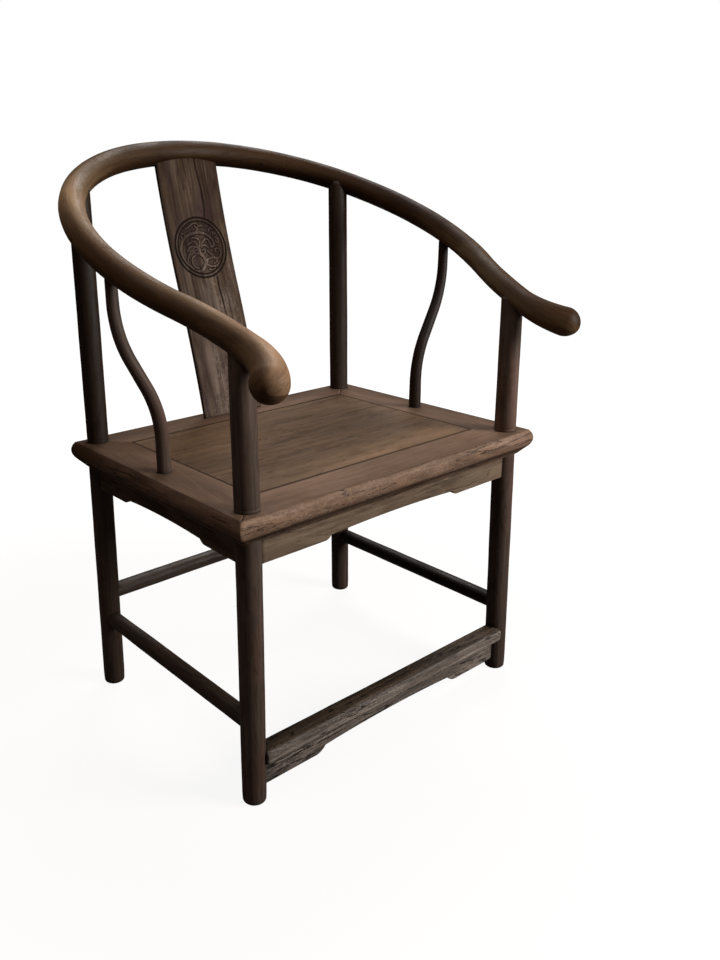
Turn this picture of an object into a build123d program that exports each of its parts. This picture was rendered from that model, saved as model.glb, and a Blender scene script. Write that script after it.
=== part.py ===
"""Horseshoe-back armchair (quanyi) in dark hardwood.

Axes: X to the sitter's left and right, -Y is the chair's front, Z is up. All sizes are in millimetres.
Construction is laid out from the middle of the seat; place() then sets the whole chair so that the
origin lies on the floor under the middle of its outline. Nothing on this chair moves.
"""

import os
from math import atan2, cos, degrees, radians, sin

from build123d import *

# ---- seat frame ---------------------------------------------------------------------------------
seat_width = 620.0  # between the top edges of the two side members
seat_depth = 474.0  # between the top edges of the front and back members
seat_height = 469.0  # floor to the top of the seat
frame_thickness = 44.0
side_member_width = 72.0
end_member_width = 69.0  # front and back members
nose_bulge = 6.0  # the rounded edge stands this far out past the top edge
nose_height = 31.0  # top edge to the lower end of the round nose
nose_peak_drop = 13.0  # top edge to where the nose stands out furthest
nose_return = 1.0  # the nose ends this far inside the top edge
underside_inset = 13.0  # from there the edge slopes in to the underside
corner_tenon_width = 14.0
corner_tenon_thickness = 12.0
corner_tenon_reach = 50.0  # length past the inner corner
corner_tenon_margin = 4.0  # inner edge to the tenon's side
corner_tenon_drop = 2.0  # the tenon's middle lies this far under the member's

# ---- seat panel ---------------------------------------------------------------------------------
board_count = 3
board_thickness = 11.0
tongue_thickness = 6.0
tongue_length = 8.0
batten_width = 26.0
batten_depth = 22.0
batten_spacing = 250.0
dovetail_height = 4.0
dovetail_flare = 2.0  # each flank leans out by this much
batten_tenon_length = 10.0
batten_tenon_width = 16.0
batten_tenon_height = 12.0
batten_tenon_drop = 3.0  # the tenon's middle lies this far under the batten's

# ---- legs, which run on above the seat as posts -------------------------------------------------
leg_diameter = 37.6
post_diameter = 36.4  # slimmer than the leg, so the frame rests on a small shoulder
post_top_diameter = 35.6
leg_spread = 556.6  # between the left and right axes at seat height
front_leg_y = -209.4
rear_leg_y = 213.9
side_splay = 10.2  # each foot stands this much further out to its side
end_splay = 5.4  # and this much further to the front or back
front_post_top_y = -207.2
rear_post_top_y = 212.5
foot_rounding = 3.0
post_inset = 4.0  # posts meet the rail this far inside its axis
post_shoulder_drop = 7.0  # the saddle of a post stops this far under the rail's axis
post_tenon_diameter = 18.0

# ---- crest rail, one plane tilted down to the front ---------------------------------------------
rail_back_y = 338.8
rail_back_height = 931.0
rail_tilt = 23.1  # degrees
bend_radius = 347.0
bend_angle = 115.2  # from the middle of the back to where the arm turns outward
arm_radius = 416.0
arm_angle = 17.2
hand_radius = 91.0
hand_angle = 49.7
rail_back_radius = 21.2
rail_bend_end_radius = 18.9
rail_wrist_radius = 20.4
rail_hand_radius = 25.5
rear_joint_angle = 27.0  # scarf joints, in degrees round the bend
side_joint_angle = 82.0
lap_length = 92.0
lap_tongue_length = 6.0
lap_tongue_width = 14.0
lap_tongue_thickness = 5.0
peg_width = 10.0  # at the outer side of the rail
peg_tip_width = 8.0  # at its inner side

# ---- back splat ---------------------------------------------------------------------------------
splat_width = 128.0
splat_thickness = 10.0
splat_foot_y = 206.5
splat_foot_lean = 12.0  # degrees from upright
splat_mid_lean = 18.0
splat_top_lean = 10.5
splat_waist_height = 690.0  # where the curve turns over
splat_tongue_thickness = 6.0
splat_tongue_margin = 6.0
splat_tongue_depth = 12.0

# ---- side posts under the arms ------------------------------------------------------------------
side_post_spread = 557.0
side_post_y = 1.0
side_post_diameter = 22.6
side_post_top_diameter = 17.0
side_post_foot_length = 49.0  # straight above the seat
side_post_head_length = 52.0  # straight under the rail
side_post_bow_share = 0.65  # 0 is a straight slope between them, 1 two bows that touch
side_post_tenon_diameter = 10.0
side_post_tenon_depth = 14.0

# ---- aprons -------------------------------------------------------------------------------------
apron_thickness = 12.0
end_apron_setback = 17.0  # from the seat's top edge to the front apron's face
side_apron_setback = 21.0
apron_end_height = 38.0
apron_cusp_rise = 6.5
apron_middle_height = 28.0
apron_cusp_width = 13.0
apron_housing = 7.0  # how deep the ends sit in the legs
apron_tongue_height = 5.0
apron_tongue_thickness = 6.0
cusp_turn_along = 0.6  # the cusp's curve turns at these shares of its width
cusp_turn_up = 0.25  # and of its rise
end_cusp_reach = 148.0  # middle of the front and back aprons to the cusp
side_cusp_reach = 118.0  # the same for the side aprons

# ---- stretchers ---------------------------------------------------------------------------------
stretcher_diameter = 28.0
side_stretcher_height = 133.5
rear_stretcher_height = 182.8
stretcher_tenon_diameter = 16.0
stretcher_tenon_depth = 16.0
foot_rest_depth = 36.0
foot_rest_thickness = 26.0
foot_rest_top = 89.0
foot_rest_front_y = -236.0
foot_rest_half_length = 275.0
foot_rest_rounding = 9.0
foot_rest_tenon_width = 14.0
foot_rest_tenon_thickness = 12.0
lower_apron_face_y = -220.0
lower_apron_end_height = 42.0
lower_apron_cusp_rise = 10.5
lower_apron_middle_height = 27.0
lower_apron_cusp_width = 24.0
lower_cusp_reach = 172.0

# ---- clearances ---------------------------------------------------------------------------------
joint_clearance = 0.1  # between a tenon or tongue and its mortise, each side
bore_clearance = 0.15  # between a post and its hole in the seat frame, on the radius
overrun = 1.0  # how far a cut or a hidden end runs past the face that it crosses

# ---- worked out from the above ------------------------------------------------------------------
half_width = seat_width / 2
half_depth = seat_depth / 2
inner_x = half_width - side_member_width
inner_y = half_depth - end_member_width
frame_bottom = seat_height - frame_thickness
leg_radius = leg_diameter / 2
rail_plane = Plane(
    origin=(0, rail_back_y, rail_back_height),
    x_dir=(1, 0, 0),
    z_dir=(0, -sin(radians(rail_tilt)), cos(radians(rail_tilt))),
)


# ---- helpers ------------------------------------------------------------------------------------
def box(x_range, y_range, z_range):
    """A box given by its limits along each axis."""
    spans = (x_range, y_range, z_range)
    middle = [(low + high) / 2 for low, high in spans]
    size = [high - low for low, high in spans]
    return Pos(*middle) * Box(*size)


def round_bar(start, end, start_radius, end_radius):
    """A round bar, tapered or straight, between two points."""
    axis = Vector(*end) - Vector(*start)
    plane = Plane(origin=start, z_dir=axis)
    if abs(start_radius - end_radius) < 1e-9:
        return Part() + Solid.make_cylinder(start_radius, axis.length, plane)
    return Part() + Solid.make_cone(start_radius, end_radius, axis.length, plane)


def tapered_tube(path, start_radius, end_radius):
    """A round bar along a curve, its radius growing or shrinking from end to end."""
    start = Plane(origin=path @ 0, z_dir=path % 0) * Circle(start_radius)
    end = Plane(origin=path @ 1, z_dir=path % 1) * Circle(end_radius)
    return sweep([start, end], path=path, multisection=True)


def point_between(start, end, height):
    """The point at a given height on the line through two points."""
    share = (height - start[2]) / (end[2] - start[2])
    return tuple(a + share * (b - a) for a, b in zip(start, end))


def mirrored(part):
    """The same piece on the chair's other side."""
    return mirror(part, about=Plane.YZ)


# ---- crest rail ---------------------------------------------------------------------------------
def rail_curves():
    """Axis of the rail's right half, from the middle of the back to the end of the hand."""
    bend = JernArc((0, 0), (1, 0), bend_radius, -bend_angle)
    arm = JernArc(bend @ 1, bend % 1, arm_radius, arm_angle)
    hand = JernArc(arm @ 1, arm % 1, hand_radius, hand_angle)
    return [rail_plane * curve for curve in (bend, arm, hand)]


def rail_tube():
    """The whole right half of the rail, before it is divided into lengths."""
    bend, arm, hand = rail_curves()
    tube = tapered_tube(bend, rail_back_radius, rail_bend_end_radius)
    tube += tapered_tube(arm, rail_bend_end_radius, rail_wrist_radius)
    tube += tapered_tube(hand, rail_wrist_radius, rail_hand_radius)
    return tube + Pos(*(hand @ 1)) * Sphere(rail_hand_radius)


def rail_point_at(y):
    """Where the rail's axis crosses the upright plane at the given y."""
    path = Wire(rail_curves())
    low, high = 0.0, 1.0
    for _ in range(40):
        middle = (low + high) / 2
        if (path @ middle).Y > y:
            low = middle
        else:
            high = middle
    return path @ low


def joint_plane(angle):
    """Plane square to the rail's axis at a scarf joint: x points outward, y up, z along the rail."""
    turn = radians(angle)
    place_in_plane = (bend_radius * sin(turn), bend_radius * (cos(turn) - 1))
    along = rail_plane.from_local_coords(Vector(cos(turn), -sin(turn), 0)) - rail_plane.origin
    outward = rail_plane.from_local_coords(Vector(sin(turn), cos(turn), 0)) - rail_plane.origin
    centre = rail_plane.from_local_coords(Vector(*place_in_plane, 0))
    return Plane(origin=centre, x_dir=outward, z_dir=along)


def lap_block(angle, upper):
    """The half of the lap zone above or below the rail's plane."""
    size = 4 * rail_back_radius
    side = 1 if upper else -1
    joint = joint_plane(angle)
    up = 1 if joint.y_dir.Z > 0 else -1
    return joint * Pos(0, side * up * size / 2, 0) * Box(2 * size, size, lap_length)


def lap_tongue(angle, upper, clearance=0.0):
    """The tongue at the tip of a lap, which enters the shoulder of its neighbour."""
    side = 1 if upper else -1
    joint = joint_plane(angle)
    up = 1 if joint.y_dir.Z > 0 else -1
    offset = side * up * rail_back_radius / 2
    width = lap_tongue_width + 2 * clearance
    thickness = lap_tongue_thickness + 2 * clearance
    length = lap_tongue_length + clearance
    reach = side * (lap_length / 2 + length / 2)
    return joint * Pos(0, offset, reach) * Box(width, thickness, length)


def scarf_peg(angle, clearance=0.0):
    """Tapered square peg driven through a scarf joint from its outer side."""
    joint = joint_plane(angle)
    reach = 1.5 * rail_back_radius
    outer = Plane(origin=joint.origin + joint.x_dir * reach, x_dir=joint.z_dir, z_dir=-joint.x_dir)
    outer_face = outer * Rectangle(peg_width + 2 * clearance, peg_width + 2 * clearance)
    inner_face = outer.offset(2 * reach) * Rectangle(
        peg_tip_width + 2 * clearance, peg_tip_width + 2 * clearance
    )
    return loft([outer_face, inner_face])


def rail_lengths(tube):
    """The right half of the rail divided at its two scarf joints."""
    rear = joint_plane(rear_joint_angle)
    side = joint_plane(side_joint_angle)
    half_lap = lap_length / 2
    centre = split(tube, bisect_by=rear.offset(half_lap), keep=Keep.BOTTOM)
    centre -= lap_block(rear_joint_angle, upper=False)
    centre += lap_tongue(rear_joint_angle, upper=True)
    centre -= lap_tongue(rear_joint_angle, upper=False, clearance=joint_clearance)
    centre -= scarf_peg(rear_joint_angle, joint_clearance)
    shoulder = split(tube, bisect_by=rear.offset(-half_lap), keep=Keep.TOP)
    shoulder = split(shoulder, bisect_by=side.offset(half_lap), keep=Keep.BOTTOM)
    shoulder -= lap_block(rear_joint_angle, upper=True)
    shoulder -= lap_block(side_joint_angle, upper=False)
    shoulder += lap_tongue(rear_joint_angle, upper=False)
    shoulder += lap_tongue(side_joint_angle, upper=True)
    shoulder -= lap_tongue(rear_joint_angle, upper=True, clearance=joint_clearance)
    shoulder -= lap_tongue(side_joint_angle, upper=False, clearance=joint_clearance)
    shoulder -= scarf_peg(rear_joint_angle, joint_clearance)
    shoulder -= scarf_peg(side_joint_angle, joint_clearance)
    arm = split(tube, bisect_by=side.offset(-half_lap), keep=Keep.TOP)
    arm -= lap_block(side_joint_angle, upper=True)
    arm += lap_tongue(side_joint_angle, upper=False)
    arm -= lap_tongue(side_joint_angle, upper=True, clearance=joint_clearance)
    arm -= scarf_peg(side_joint_angle, joint_clearance)
    return centre, shoulder, arm


# ---- legs and posts -----------------------------------------------------------------------------
def leg_points(front):
    """Foot, shoulder under the seat frame and top of a right leg's axis."""
    seat_y = front_leg_y if front else rear_leg_y
    top_y = front_post_top_y if front else rear_post_top_y
    splay_y = -end_splay if front else end_splay
    seat_point = (leg_spread / 2, seat_y, seat_height)
    foot = (leg_spread / 2 + side_splay, seat_y + splay_y, 0)
    shoulder = point_between(foot, seat_point, frame_bottom)
    rail_point = rail_point_at(top_y)
    top = (rail_point.X - post_inset, rail_point.Y, rail_point.Z)
    return foot, shoulder, top


def leg_axis_at(front, height):
    """Point of a right leg's axis under the seat."""
    foot, shoulder, _ = leg_points(front)
    return point_between(foot, shoulder, height)


def leg_below_seat(front):
    """The round leg, standing flat on the floor."""
    below = leg_axis_at(front, -leg_diameter)
    above = leg_axis_at(front, seat_height)
    leg = round_bar(below, above, leg_radius, leg_radius)
    leg &= box((0, seat_width), (-seat_depth, seat_depth), (0, frame_bottom))
    return fillet(leg.edges().group_by(Axis.Z)[0], foot_rounding)


def post_above_seat(front, tube):
    """The post, from the leg's shoulder through the seat frame to the rail, with its tenon."""
    _, shoulder, top = leg_points(front)
    below = point_between(shoulder, top, frame_bottom - post_diameter)
    post = round_bar(below, top, post_diameter / 2, post_top_diameter / 2)
    z_range = (frame_bottom, top[2] - post_shoulder_drop)
    post &= box((0, seat_width), (-seat_depth, seat_depth), z_range)
    return post - tube + post_tenon(front)


def post_tenon(front, clearance=0.0):
    """Round tenon of a post, ending at the rail's axis."""
    _, shoulder, top = leg_points(front)
    start = point_between(shoulder, top, top[2] - 2 * rail_back_radius)
    end = point_between(shoulder, top, top[2] + clearance)
    radius = post_tenon_diameter / 2 + clearance
    return round_bar(start, end, radius, radius)


def frame_bore(front):
    """Hole in the seat frame for a post."""
    _, shoulder, top = leg_points(front)
    start = point_between(shoulder, top, frame_bottom - post_diameter)
    end = point_between(shoulder, top, seat_height + post_diameter)
    radius = post_diameter / 2 + bore_clearance
    return round_bar(start, end, radius, radius)


# ---- side posts ---------------------------------------------------------------------------------
def side_post_path():
    """Axis of the right side post: upright, a bow outward, a bow back, upright."""
    rail_point = rail_point_at(side_post_y)
    rail_level = rail_point.Z - seat_height - post_shoulder_drop / 2
    offset = rail_point.X - post_inset - side_post_spread / 2
    rise = rail_level - side_post_foot_length - side_post_head_length
    lean = (1 + side_post_bow_share) * atan2(offset, rise)
    bow_radius = (rise * sin(lean) - offset * cos(lean)) / (2 - 2 * cos(lean))
    slope_length = (rise - 2 * bow_radius * sin(lean)) / cos(lean)
    origin = (side_post_spread / 2, side_post_y, seat_height)
    plane = Plane(origin=origin, x_dir=(1, 0, 0), z_dir=(0, -1, 0))
    foot = Line((0, -side_post_tenon_depth), (0, side_post_foot_length))
    out_bow = JernArc(foot @ 1, foot % 1, bow_radius, -degrees(lean))
    slope = Line(out_bow @ 1, out_bow @ 1 + slope_length * (out_bow % 1))
    back_bow = JernArc(slope @ 1, slope % 1, bow_radius, degrees(lean))
    top = Line(back_bow @ 1, (offset, rail_level))
    return [plane * curve for curve in (foot, out_bow, slope, back_bow, top)]


def side_post(tube):
    """The S-shaped side post, saddled under the rail and tenoned at both ends."""
    path = Wire(side_post_path())
    post = tapered_tube(path, side_post_diameter / 2, side_post_top_diameter / 2)
    above_seat = box((0, seat_width), (-seat_depth, seat_depth), (seat_height, 2 * seat_height))
    return (post & above_seat) - tube + side_post_tenon(True) + side_post_tenon(False)


def side_post_tenon(at_seat, clearance=0.0):
    """Round tenon at the foot or the top of a side post."""
    path = side_post_path()
    radius = side_post_tenon_diameter / 2 + clearance
    if at_seat:
        x = side_post_spread / 2
        low = seat_height - side_post_tenon_depth - clearance
        high = seat_height + overrun
        return round_bar((x, side_post_y, low), (x, side_post_y, high), radius, radius)
    top = path[-1] @ 1
    start = (top.X, top.Y, top.Z - 2 * rail_back_radius)
    end = (top.X, top.Y, top.Z + post_shoulder_drop / 2 + clearance)
    return round_bar(start, end, radius, radius)


# ---- back splat ---------------------------------------------------------------------------------
def splat_slab(thickness, width, below_seat, past_rail):
    """A slab that follows the splat's S curve, run on past the seat and the rail's axis."""
    foot_lean, mid_lean, top_lean = (
        radians(lean) for lean in (splat_foot_lean, splat_mid_lean, splat_top_lean)
    )
    lower_rise = splat_waist_height - seat_height
    upper_rise = rail_back_height - splat_waist_height
    lower_radius = lower_rise / (sin(mid_lean) - sin(foot_lean))
    upper_radius = upper_rise / (sin(mid_lean) - sin(top_lean))
    plane = Plane(origin=(0, splat_foot_y, seat_height), x_dir=(0, 1, 0), z_dir=(1, 0, 0))
    foot_direction = Vector(sin(foot_lean), cos(foot_lean))
    foot = Line(-below_seat * foot_direction, (0, 0))
    lower = JernArc((0, 0), foot_direction, lower_radius, splat_foot_lean - splat_mid_lean)
    upper = JernArc(lower @ 1, lower % 1, upper_radius, splat_mid_lean - splat_top_lean)
    head = Line(upper @ 1, upper @ 1 + past_rail * (upper % 1))
    return extrude(plane * trace([foot, lower, upper, head], thickness), width / 2, both=True)


def splat_tongue(clearance=0.0):
    """The splat's thinner core, which enters the rail above and the seat frame below."""
    thickness = splat_tongue_thickness + 2 * clearance
    width = splat_width - 2 * splat_tongue_margin + 2 * clearance
    return splat_slab(thickness, width, splat_tongue_depth + clearance, overrun + clearance)


def back_splat(whole_tube):
    """The curved back board, let into the crest rail and the back member of the seat."""
    board = splat_slab(splat_thickness, splat_width, splat_thickness, overrun)
    board &= box((-seat_width, seat_width), (0, seat_width), (seat_height, 2 * seat_height))
    return board - whole_tube + splat_tongue()


# ---- seat frame ---------------------------------------------------------------------------------
def frame_bar(width, length):
    """Straight length of frame moulding along X: inner edge on y = 0, nose toward -y, top on z = 0."""
    top = Line((0, 0), (-width, 0))
    nose = ThreePointArc(
        (-width, 0),
        (-width - nose_bulge, -nose_peak_drop),
        (-width + nose_return, -nose_height),
    )
    rest = Polyline(
        (-width + nose_return, -nose_height),
        (-width + underside_inset, -frame_thickness),
        (0, -frame_thickness),
        (0, 0),
    )
    profile = Plane.YZ * make_face([top, nose, rest])
    bar = extrude(profile, length / 2, both=True)
    groove_top = -(board_thickness - tongue_thickness) + joint_clearance
    groove_bottom = -board_thickness - joint_clearance
    depth = tongue_length + joint_clearance
    return bar - box((-length, length), (-depth, 0), (groove_bottom, groove_top))


def mitre_region(end):
    """Prism over the front member (end) or the right member, bounded by the mitre lines."""
    run_out = 1 + 2 * nose_bulge / min(side_member_width, end_member_width)
    outer_x = inner_x + run_out * side_member_width
    outer_y = inner_y + run_out * end_member_width
    if end:
        corners = [(-inner_x, -inner_y), (inner_x, -inner_y), (outer_x, -outer_y), (-outer_x, -outer_y)]
    else:
        corners = [(inner_x, -inner_y), (outer_x, -outer_y), (outer_x, outer_y), (inner_x, inner_y)]
    outline = make_face(Polyline(*corners, close=True))
    return extrude(Pos(0, 0, frame_bottom - overrun) * outline, frame_thickness + 2 * overrun)


def corner_tenons(clearance=0.0):
    """Tenons at both ends of the front member."""
    high_y = -inner_y - corner_tenon_margin + clearance
    low_y = high_y - corner_tenon_width - 2 * clearance
    middle = seat_height - frame_thickness / 2 - corner_tenon_drop
    half_height = corner_tenon_thickness / 2 + clearance
    x_range = (inner_x - overrun, inner_x + corner_tenon_reach + clearance)
    tenon = box(x_range, (low_y, high_y), (middle - half_height, middle + half_height))
    return tenon + mirrored(tenon)


def turned(part):
    """A front piece turned round to the back of the seat."""
    return Rot(0, 0, 180) * part


def front_member():
    """Front member with its corner tenons, without the holes."""
    bar = Pos(0, -inner_y, seat_height) * frame_bar(end_member_width, 2 * seat_width)
    return (bar & mitre_region(end=True)) + corner_tenons()


def right_member():
    """Right side member, mortised for the corner tenons, without the holes."""
    bar = Pos(inner_x, 0, seat_height) * Rot(0, 0, 90) * frame_bar(side_member_width, 2 * seat_depth)
    mortises = corner_tenons(joint_clearance)
    return (bar & mitre_region(end=False)) - mortises - turned(mortises)


# ---- seat panel ---------------------------------------------------------------------------------
def seat_board(index):
    """One board of the seat, counted from the front, before the batten housings are cut."""
    board_depth = 2 * inner_y / board_count
    low_y = -inner_y + index * board_depth
    high_y = low_y + board_depth
    gap = joint_clearance
    z_range = (seat_height - board_thickness, seat_height)
    slab = box((-inner_x + gap, inner_x - gap), (low_y + gap, high_y - gap), z_range)
    tongue_low = low_y - tongue_length if index == 0 else low_y + gap
    tongue_high = high_y + tongue_length if index == board_count - 1 else high_y - gap
    tongue_x = inner_x + tongue_length
    tongue_z = (seat_height - board_thickness, seat_height - board_thickness + tongue_thickness)
    return slab + box((-tongue_x, tongue_x), (tongue_low, tongue_high), tongue_z)


def batten(x, clearance=0.0):
    """Dovetailed batten under the boards, tenoned into the front and back members."""
    underside = seat_height - board_thickness
    foot_half = batten_width / 2 - dovetail_flare + clearance
    head_half = batten_width / 2 + clearance
    dovetail = Polyline(
        (-foot_half, 0),
        (foot_half, 0),
        (head_half, dovetail_height + clearance),
        (-head_half, dovetail_height + clearance),
        close=True,
    )
    plane = Plane(origin=(x, 0, underside), x_dir=(1, 0, 0), z_dir=(0, -1, 0))
    length = inner_y - 2 * joint_clearance
    head = extrude(plane * make_face(dovetail), length, both=True)
    body_half = batten_width / 2 - dovetail_flare
    body = box((x - body_half, x + body_half), (-length, length), (underside - batten_depth, underside))
    return head + body + batten_tenons(x)


def batten_tenons(x, clearance=0.0):
    """Tenons at the two ends of a batten."""
    middle = seat_height - board_thickness - batten_depth / 2 - batten_tenon_drop
    half_height = batten_tenon_height / 2 + clearance
    half_width_here = batten_tenon_width / 2 + clearance
    reach = inner_y + batten_tenon_length + clearance
    return box(
        (x - half_width_here, x + half_width_here),
        (-reach, reach),
        (middle - half_height, middle + half_height),
    )


# ---- aprons -------------------------------------------------------------------------------------
def apron_outline(half_length, end_height, rise, middle_height, cusp_reach, cusp_width):
    """Apron seen from the front, top edge on y = 0: low ends, a cusp each side, a shallow arch."""
    cusp_top = -end_height + rise
    right = cusp_reach - cusp_width
    lower_turn = (cusp_reach - cusp_turn_along * cusp_width, -end_height + cusp_turn_up * rise)
    edge = [
        Line((-cusp_reach, -end_height), (-half_length, -end_height)),
        Line((-half_length, -end_height), (-half_length, 0)),
        Line((-half_length, 0), (half_length, 0)),
        Line((half_length, 0), (half_length, -end_height)),
        Line((half_length, -end_height), (cusp_reach, -end_height)),
        ThreePointArc((cusp_reach, -end_height), lower_turn, (right, cusp_top)),
        ThreePointArc((right, cusp_top), (0, -middle_height), (-right, cusp_top)),
        ThreePointArc((-right, cusp_top), (-lower_turn[0], lower_turn[1]), (-cusp_reach, -end_height)),
    ]
    return make_face(edge)


def apron(outline, half_length, clearance=0.0):
    """Apron along X with its face on y = 0, thickness toward +y and a tongue along its top."""
    plane = Plane(origin=(0, -clearance, 0), x_dir=(1, 0, 0), z_dir=(0, -1, 0))
    slab = extrude(plane * outline, -(apron_thickness + 2 * clearance))
    middle = apron_thickness / 2
    half_tongue = apron_tongue_thickness / 2 + clearance
    tongue = box(
        (-half_length, half_length),
        (middle - half_tongue, middle + half_tongue),
        (-overrun, apron_tongue_height + clearance),
    )
    return slab + tongue


def end_apron(clearance=0.0):
    """Front apron under the seat."""
    axis = leg_axis_at(True, frame_bottom)
    half_length = axis[0] - leg_radius + apron_housing + clearance
    outline = apron_outline(
        half_length, apron_end_height, apron_cusp_rise, apron_middle_height, end_cusp_reach, apron_cusp_width
    )
    tongue_half = axis[0] - leg_radius - apron_housing
    face_y = -half_depth + end_apron_setback
    return Pos(0, face_y, frame_bottom) * apron(outline, tongue_half, clearance)


def side_apron(clearance=0.0):
    """Right side apron under the seat."""
    front, rear = leg_axis_at(True, frame_bottom)[1], leg_axis_at(False, frame_bottom)[1]
    half_length = (rear - front) / 2 - leg_radius + apron_housing + clearance
    outline = apron_outline(
        half_length, apron_end_height, apron_cusp_rise, apron_middle_height, side_cusp_reach, apron_cusp_width
    )
    tongue_half = (rear - front) / 2 - leg_radius - apron_housing
    face_x = half_width - side_apron_setback
    seat_side = Pos(face_x, (front + rear) / 2, frame_bottom) * Rot(0, 0, 90)
    return seat_side * apron(outline, tongue_half, clearance)


def lower_apron(clearance=0.0):
    """Apron under the foot rest."""
    top = foot_rest_top - foot_rest_thickness
    half_length = leg_axis_at(True, top)[0] - leg_radius + apron_housing + clearance
    outline = apron_outline(
        half_length,
        lower_apron_end_height,
        lower_apron_cusp_rise,
        lower_apron_middle_height,
        lower_cusp_reach,
        lower_apron_cusp_width,
    )
    tongue_half = leg_axis_at(True, top)[0] - leg_radius - apron_housing
    return Pos(0, lower_apron_face_y, top) * apron(outline, tongue_half, clearance)


# ---- stretchers ---------------------------------------------------------------------------------
def stretcher(start, end, legs):
    """Round stretcher between two leg axes, scribed to the legs, with a tenon at each end."""
    radius = stretcher_diameter / 2
    bar = round_bar(start, end, radius, radius)
    for leg in legs:
        bar -= leg
    return bar + stretcher_tenons(start, end)


def stretcher_tenons(start, end, clearance=0.0):
    """The core of a round stretcher, which reaches into both legs."""
    direction = (Vector(*end) - Vector(*start)).normalized()
    inset = leg_radius - stretcher_tenon_depth - clearance
    radius = stretcher_tenon_diameter / 2 + clearance
    return round_bar(Vector(*start) + direction * inset, Vector(*end) - direction * inset, radius, radius)


def foot_rest(legs):
    """The front stretcher, wide enough to rest the feet on, scribed round the legs' fronts."""
    y_range = (foot_rest_front_y, foot_rest_front_y + foot_rest_depth)
    z_range = (foot_rest_top - foot_rest_thickness, foot_rest_top)
    bar = box((-foot_rest_half_length, foot_rest_half_length), y_range, z_range)
    bar = fillet(bar.edges().filter_by(Axis.X), foot_rest_rounding)
    for leg in legs:
        bar -= leg
    return bar + foot_rest_tenons()


def foot_rest_tenons(clearance=0.0):
    """The core of the foot rest, which reaches into both front legs."""
    middle_z = foot_rest_top - foot_rest_thickness / 2
    axis = leg_axis_at(True, middle_z)
    reach = axis[0] - leg_radius + stretcher_tenon_depth + clearance
    half_y = foot_rest_tenon_width / 2 + clearance
    half_z = foot_rest_tenon_thickness / 2 + clearance
    return box((-reach, reach), (axis[1] - half_y, axis[1] + half_y), (middle_z - half_z, middle_z + half_z))


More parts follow.
